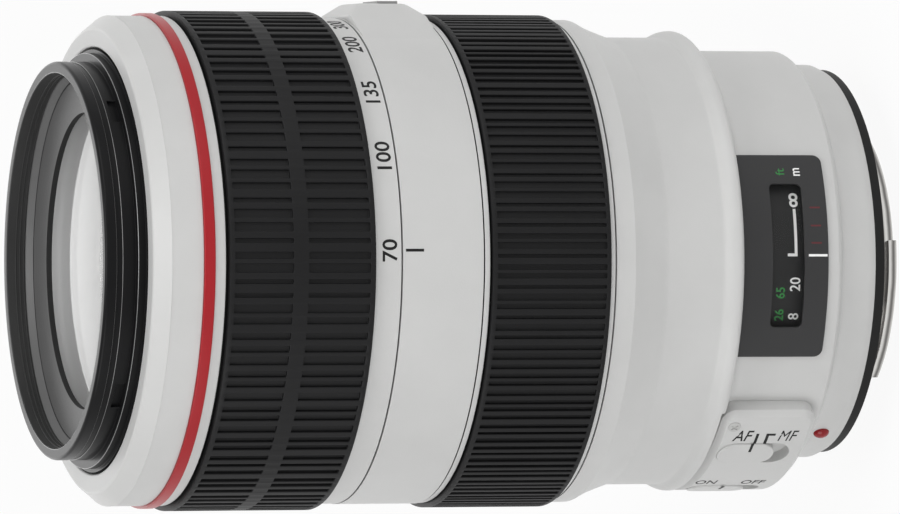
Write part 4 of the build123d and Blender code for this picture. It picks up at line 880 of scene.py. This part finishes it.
# Zoom ring
# A white ring with a broad rubber sleeve of 117 flat ribs, broken by one smooth band.
# The focal lengths are printed on its bare rear edge.
zoom_core = merged_copy("zoom_ring", "zoom_ring_core", width=0.1 * mm)
set_back(zoom_core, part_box("zoom_ring")[0].z, 0.2 * mm)
fit(zoom_core, white_enamel, "zoom_ring", "white_paint", "zoom_ring")
zoom_low, zoom_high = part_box("zoom_rubber")
# Painted shade: the core's faces under the sleeve take the black rubber, so that the gap at the sleeve's
# front edge shows dark.
paint(zoom_core, gasket_rubber, lambda face: hypot(*face.center.xy) < zoom_high.x - sleeve_seat)
plain_rear, plain_front = 108.75 * mm, 111.55 * mm
zoom_sleeve = ribbed_sleeve(
    "zoom_grip", "zoom_rubber", ribs=117, groove_depth=0.6 * mm, bore=zoom_high.x - 1.96 * mm,
    bands=[(zoom_low.z + 1.0 * mm, plain_rear), (plain_front, zoom_high.z - 1.4 * mm)],
    front_gap=0.45 * mm, rounding=0.16 * mm,
)
fit(zoom_sleeve, grip_rubber, "zoom_ring", "grip_rubber", "zoom_rubber")
scale_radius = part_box("zoom_ring")[1].x
focal_marks = (("70", 2.4), ("100", 24.8), ("135", 42.9), ("200", 62.1), ("300", 75.4))
focal_size = 3.75 * mm
focal_height = 93.7 * mm
focal_print = [
    printed(words, words, focal_size, scale_radius, side, focal_height, stretch=1.1, weight=bolder)
    for words, side in focal_marks
]
focal_scale = joined("focal_scale", focal_print)
fit(focal_scale, print_black, "zoom_ring", "white_paint")

# Front collar
# The fixed nose ring, enamelled white, with a bright face round the front barrel. A
# glossy red ring is set in a groove in it, and a felt seal wipes the extension barrel.
nose_face = 136.1 * mm
nose_shoulder = 133.5 * mm
nose_rounding = 0.4 * mm
nose_edges = ((41.2 * mm, nose_face), (43.3 * mm, nose_shoulder), (37.85 * mm, nose_face))
nose = merged_copy(
    "front_collar", "nose_ring", 0.12 * mm, [(*edge, nose_rounding) for edge in nose_edges]
)
fit(nose, white_enamel, "lens_barrel", "white_paint", "front_collar")
red_enamel = surface(
    "red_enamel", (0.36, 0.01, 0.016),
    roughness=0.3, grain=0.4 * mm, depth=0.001 * mm, mottle=0.03, specular=0.25,
)
band = merged_copy("red_band", "red_line", width=0.2 * mm)
fit(band, red_enamel, "lens_barrel", "red_ring", "red_band")
felt_black = surface(
    "felt_black", (0.015, 0.015, 0.015),
    roughness=0.95, grain=0.12 * mm, depth=0.03 * mm, mottle=0.3,
)
dress(nodes["collar_seal"], felt_black)

# Extension barrel and front barrel
# The white extension barrel slides out with the zoom. On its end sits the black front
# barrel, with the hood's bayonet outside and the filter thread inside.
extension = merged_copy("extension_barrel", "extension_tube", width=0.1 * mm)
fit(extension, white_enamel, "extension", "white_paint", "extension_barrel")
paint(extension, tube_black, faces_axis)
front_black = surface(
    "front_black", (0.0065, 0.0065, 0.007),
    roughness=0.3, grain=0.3 * mm, depth=0.003 * mm, mottle=0.06, specular=0.1,
)
add_turning_marks(front_black, spacing=0.35 * mm, depth=0.0015 * mm, bands="BANDS")
thread_radius = 33.25 * mm
rim_radius = 35.3 * mm
rim_height = 143 * mm
flange_radius = 36.85 * mm
flange_height = 137.5 * mm
front_tube = merged_copy(
    "front_barrel", "front_tube", 0.08 * mm,
    [
        (rim_radius, rim_height, 0.6 * mm),
        (thread_radius, rim_height, 0.25 * mm),
        (flange_radius, flange_height, 0.15 * mm),
    ],
)
fit(front_tube, front_black, "extension", "black_anodised", "front_barrel")
# Partly bare metal and partly painted highlight: the rounded edges of the front barrel get a lighter metallic
# finish, so that they show as thin bright lines.
bare_edge_and_painted_highlight = surface(
    "bare_edge_and_painted_highlight", (0.2, 0.2, 0.2),
    roughness=0.3, grain=0.2 * mm, depth=0.001 * mm, metallic=0.8,
)
bright_edges = (
    (rim_radius, 139.9 * mm), (rim_radius, 140.9 * mm),
    (flange_radius, flange_height), (33.35 * mm, 142.9 * mm),
)


def on_bright_edge(face):
    """Whether a face belongs to the rounding of an edge that catches the light."""
    slanted = 0.15 < abs(face.normal.z) < 0.98
    return slanted and any(near_ring(face.center, *edge, 0.12 * mm) for edge in bright_edges)


# Painted highlight on the rounded edges that catch the light.
paint(front_tube, bare_edge_and_painted_highlight, on_bright_edge)
bore_black = surface(
    "bore_black", (0.034, 0.034, 0.034),
    roughness=0.5, grain=0.3 * mm, depth=0.003 * mm, mottle=0.06, specular=0.3,
)
bore_start = 138.3 * mm
paint(front_tube, bore_black, lambda face: faces_axis(face) and face.center.z > bore_start)
rim_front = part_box("front_barrel")[1].z
thread_pitch = 0.75 * mm
thread_height = 0.16 * mm
thread_turns = 4
thread_low = rim_front - 1.2 * mm - thread_turns * thread_pitch
bpy.ops.object.select_all(action="DESELECT")
bpy.ops.mesh.primitive_circle_add(vertices=3, radius=thread_height, fill_type="NOTHING")
thread = bpy.context.object
thread.name = thread.data.name = "filter_thread"
thread.data.transform(
    Matrix.Translation((thread_radius - thread_height * 0.3, 0, thread_low))
    @ Matrix.Rotation(pi / 2, 4, "X")
    @ Matrix.Rotation(pi / 2, 4, "Z")
)
coil = thread.modifiers.new("coil", "SCREW")
coil.screw_offset = thread_pitch
coil.iterations = thread_turns
coil.steps = coil.render_steps = 160
coil.use_merge_vertices = True
coil.merge_threshold = 0.0001 * mm
alone(thread)
bpy.ops.object.modifier_apply(modifier=coil.name)
bpy.ops.object.mode_set(mode="EDIT")
bpy.ops.mesh.select_all(action="SELECT")
bpy.ops.mesh.normals_make_consistent(inside=False)
bpy.ops.object.mode_set(mode="OBJECT")
fit(thread, bore_black, "extension", "black_anodised")

# Front group
# Three coated elements. The front one is held in the barrel by a black ring with a
# conical face, screwed in below the filter thread and its turned relief.
ring_black = surface(
    "ring_black", (0.1, 0.1, 0.1),
    roughness=0.45, grain=0.3 * mm, depth=0.002 * mm, mottle=0.06,
)
add_turning_marks(ring_black, spacing=0.9 * mm, depth=0.004 * mm)
relief_radius, relief_low, relief_high = 33.24 * mm, 138.22 * mm, 139.5 * mm
relief = turned(
    "thread_relief", [(relief_radius, relief_high), (relief_radius, relief_low), (32.35 * mm, relief_low)]
)
soften(relief, 0.05 * mm)
fit(relief, ring_black, "extension", "black_anodised")
retainer_radius, lip_radius = 32.17 * mm, 26.3 * mm
retainer = turned(
    "retaining_ring",
    [
        (retainer_radius, 138.2 * mm), (lip_radius, 137.37 * mm),
        (lip_radius, 136.35 * mm), (retainer_radius, 135.5 * mm),
    ],
)
soften(retainer, 0.04 * mm)
fit(retainer, ring_black, "extension", "black_anodised", "front_retaining_ring")
paint(retainer, felt_black, faces_axis)
front_glass = coated_glass("front_glass", tint=(0.75, 0.75, 0.74), reflection=1.5, clearness=0.93, bloom=1.0)


def lens_element(name, radius, rear, front, rear_bulge, front_bulge, rows=20):
    """One ground element, from the middle of its front face round its edge to its back."""
    shares = [row / rows for row in range(1, rows + 1)]
    profile = [(radius * s, front + front_bulge * (1 - s * s)) for s in shares]
    profile += [(radius * s, rear + rear_bulge * (1 - s * s)) for s in reversed(shares)]
    bpy.ops.object.select_all(action="DESELECT")
    width, height = profile[0]
    bpy.ops.mesh.primitive_circle_add(vertices=192, radius=width, fill_type="TRIFAN", location=(0, 0, height))
    element = bpy.context.object
    element.name = element.data.name = name
    bpy.ops.object.mode_set(mode="EDIT")
    bpy.ops.mesh.select_all(action="DESELECT")
    bpy.ops.mesh.select_mode(type="EDGE")
    bpy.ops.mesh.select_non_manifold(extend=False)
    pulled(profile[0], profile[1:])
    bpy.ops.mesh.extrude_edges_move(TRANSFORM_OT_translate={"value": (0, 0, 0)})
    bpy.ops.mesh.merge(type="CENTER")
    bpy.ops.mesh.select_all(action="SELECT")
    bpy.ops.mesh.normals_make_consistent(inside=False)
    bpy.ops.object.mode_set(mode="OBJECT")
    bpy.ops.object.transform_apply(location=True, rotation=True, scale=True)
    return element


group_low, group_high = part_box("front_elements")
group_radius = group_high.x
group_rear = group_low.z
group_front = 135.38 * mm
group_length = group_front - group_rear
front_element_shares = ((0.0, 0.15, 0.025, 0.056), (0.54, 0.683, -0.031, 0.121), (0.687, 1.0, 0.121, 0.09))
elements = [
    lens_element(
        f"element_{place}", group_radius, group_rear + rear * group_length, group_rear + front * group_length,
        rear_bulge * group_radius, front_bulge * group_radius,
    )
    for place, (rear, front, rear_bulge, front_bulge) in enumerate(front_element_shares)
]
objective = joined("objective_glass", elements)
soften(objective, 0)
fit(objective, front_glass, "extension", "coated_glass", "front_elements")
# Painted reflection: the elements' edges are light grey instead of the black of real ground edges, so that
# the zone seen through the front glass by its rim shows grey.
pale_edge_painted_reflection = surface("pale_edge_painted_reflection", (0.55, 0.55, 0.54), roughness=0.8, grain=0.2 * mm, depth=0.004 * mm)
paint(objective, pale_edge_painted_reflection, lambda face: abs(face.normal.z) < 0.2)

# Floor, light and camera
# The lens stands on its mount on a pale floor, in soft light from large panels. The
# camera looks down on it by 17 degrees and is rolled a quarter turn, as in a side view.
def seen_by(tree, first, *others):
    """One for rays of these kinds, such as those that reach the camera, and nothing for others."""
    paths = tree.nodes.new("ShaderNodeLightPath")
    seen = paths.outputs[first]
    for kind in others:
        either = tree.nodes.new("ShaderNodeMath")
        either.operation = "MAXIMUM"
        tree.links.new(seen, either.inputs[0])
        tree.links.new(paths.outputs[kind], either.inputs[1])
        seen = either.outputs[0]
    return seen


floor_height = cad_box[0][2]
floor_size = 8.0
floor_gap = 0.2 * mm
floor_glow = 0.93
bpy.ops.object.select_all(action="DESELECT")
bpy.ops.mesh.primitive_plane_add(size=floor_size, location=(0, 0, floor_height - floor_gap))
floor = bpy.context.object
floor.name = "floor"
pale = bpy.data.materials.new("pale_floor")
pale.use_nodes = True
tree = pale.node_tree
shader = tree.nodes["Principled BSDF"]
shader.inputs["Base Color"].default_value = (0.8, 0.8, 0.8, 1)
shader.inputs["Roughness"].default_value = 0.9
shader.inputs["Specular IOR Level"].default_value = 0.0
output = tree.nodes["Material Output"]
seen = seen_by(tree, "Is Camera Ray", "Is Glossy Ray")
glow = tree.nodes.new("ShaderNodeEmission")
glow.inputs["Strength"].default_value = 1.0
share = tree.nodes.new("ShaderNodeMath")
share.operation = "MULTIPLY"
share.inputs[1].default_value = floor_glow
blend = tree.nodes.new("ShaderNodeMixShader")
tree.links.new(seen, share.inputs[0])
tree.links.new(share.outputs[0], blend.inputs[0])
tree.links.new(shader.outputs[0], blend.inputs[1])
tree.links.new(glow.outputs[0], blend.inputs[2])
tree.links.new(blend.outputs[0], output.inputs["Surface"])
floor.data.materials.append(pale)

sky_light = 0.3
world = bpy.data.worlds.new("studio")
bpy.context.scene.world = world
world.use_nodes = True
tree = world.node_tree
air = tree.nodes["Background"]
air.inputs["Color"].default_value = (1, 1, 1, 1)
seen = seen_by(tree, "Is Camera Ray", "Is Glossy Ray", "Is Transmission Ray")
level = tree.nodes.new("ShaderNodeMapRange")
level.inputs["To Min"].default_value = sky_light
level.inputs["To Max"].default_value = 1.0
tree.links.new(seen, level.inputs["Value"])
tree.links.new(level.outputs["Result"], air.inputs["Strength"])

lens_middle = Vector((0, 0, 70 * mm))


def softbox(name, place, size, power):
    """A large square light panel that faces the lens."""
    light = bpy.data.lights.new(name, "AREA")
    light.shape = "SQUARE"
    light.size = size
    light.energy = power
    lamp = bpy.data.objects.new(name, light)
    bpy.context.scene.collection.objects.link(lamp)
    lamp.location = place
    lamp.visible_transmission = False
    lamp.rotation_euler = (lens_middle - Vector(place)).to_track_quat("-Z", "Y").to_euler()
    return lamp


softbox("key_panel", (0.75, -0.55, 0.3), size=0.7, power=3.4)
softbox("front_panel", (0.1, -0.35, 1.0), size=0.6, power=4.2)
softbox("fill_panel", (-0.75, -0.5, 0.25), size=0.7, power=3.8)
softbox("back_panel", (0.0, 0.9, 0.4), size=0.8, power=2)

photo_tilt = radians(17.091)
across = Vector((0, -sin(photo_tilt), -cos(photo_tilt)))
upwards = Vector((1, 0, 0))
backwards = Vector((0, -cos(photo_tilt), sin(photo_tilt)))
zoom_grip_front = Vector((0, 0, 123.5 * mm))
shift_across, shift_up, distance = 51.53 * mm, 0.70 * mm, 1791 * mm
eye = zoom_grip_front + shift_across * across + shift_up * upwards + distance * backwards
camera = bpy.data.cameras.new("photo_camera")
camera.sensor_width = 36
camera.lens = 403.5
viewer = bpy.data.objects.new("photo_camera", camera)
bpy.context.scene.collection.objects.link(viewer)
turn = Matrix((across, upwards, backwards)).transposed().to_4x4()
viewer.matrix_world = Matrix.Translation(eye) @ turn
bpy.context.scene.camera = viewer
bpy.context.scene.view_settings.view_transform = "Standard"
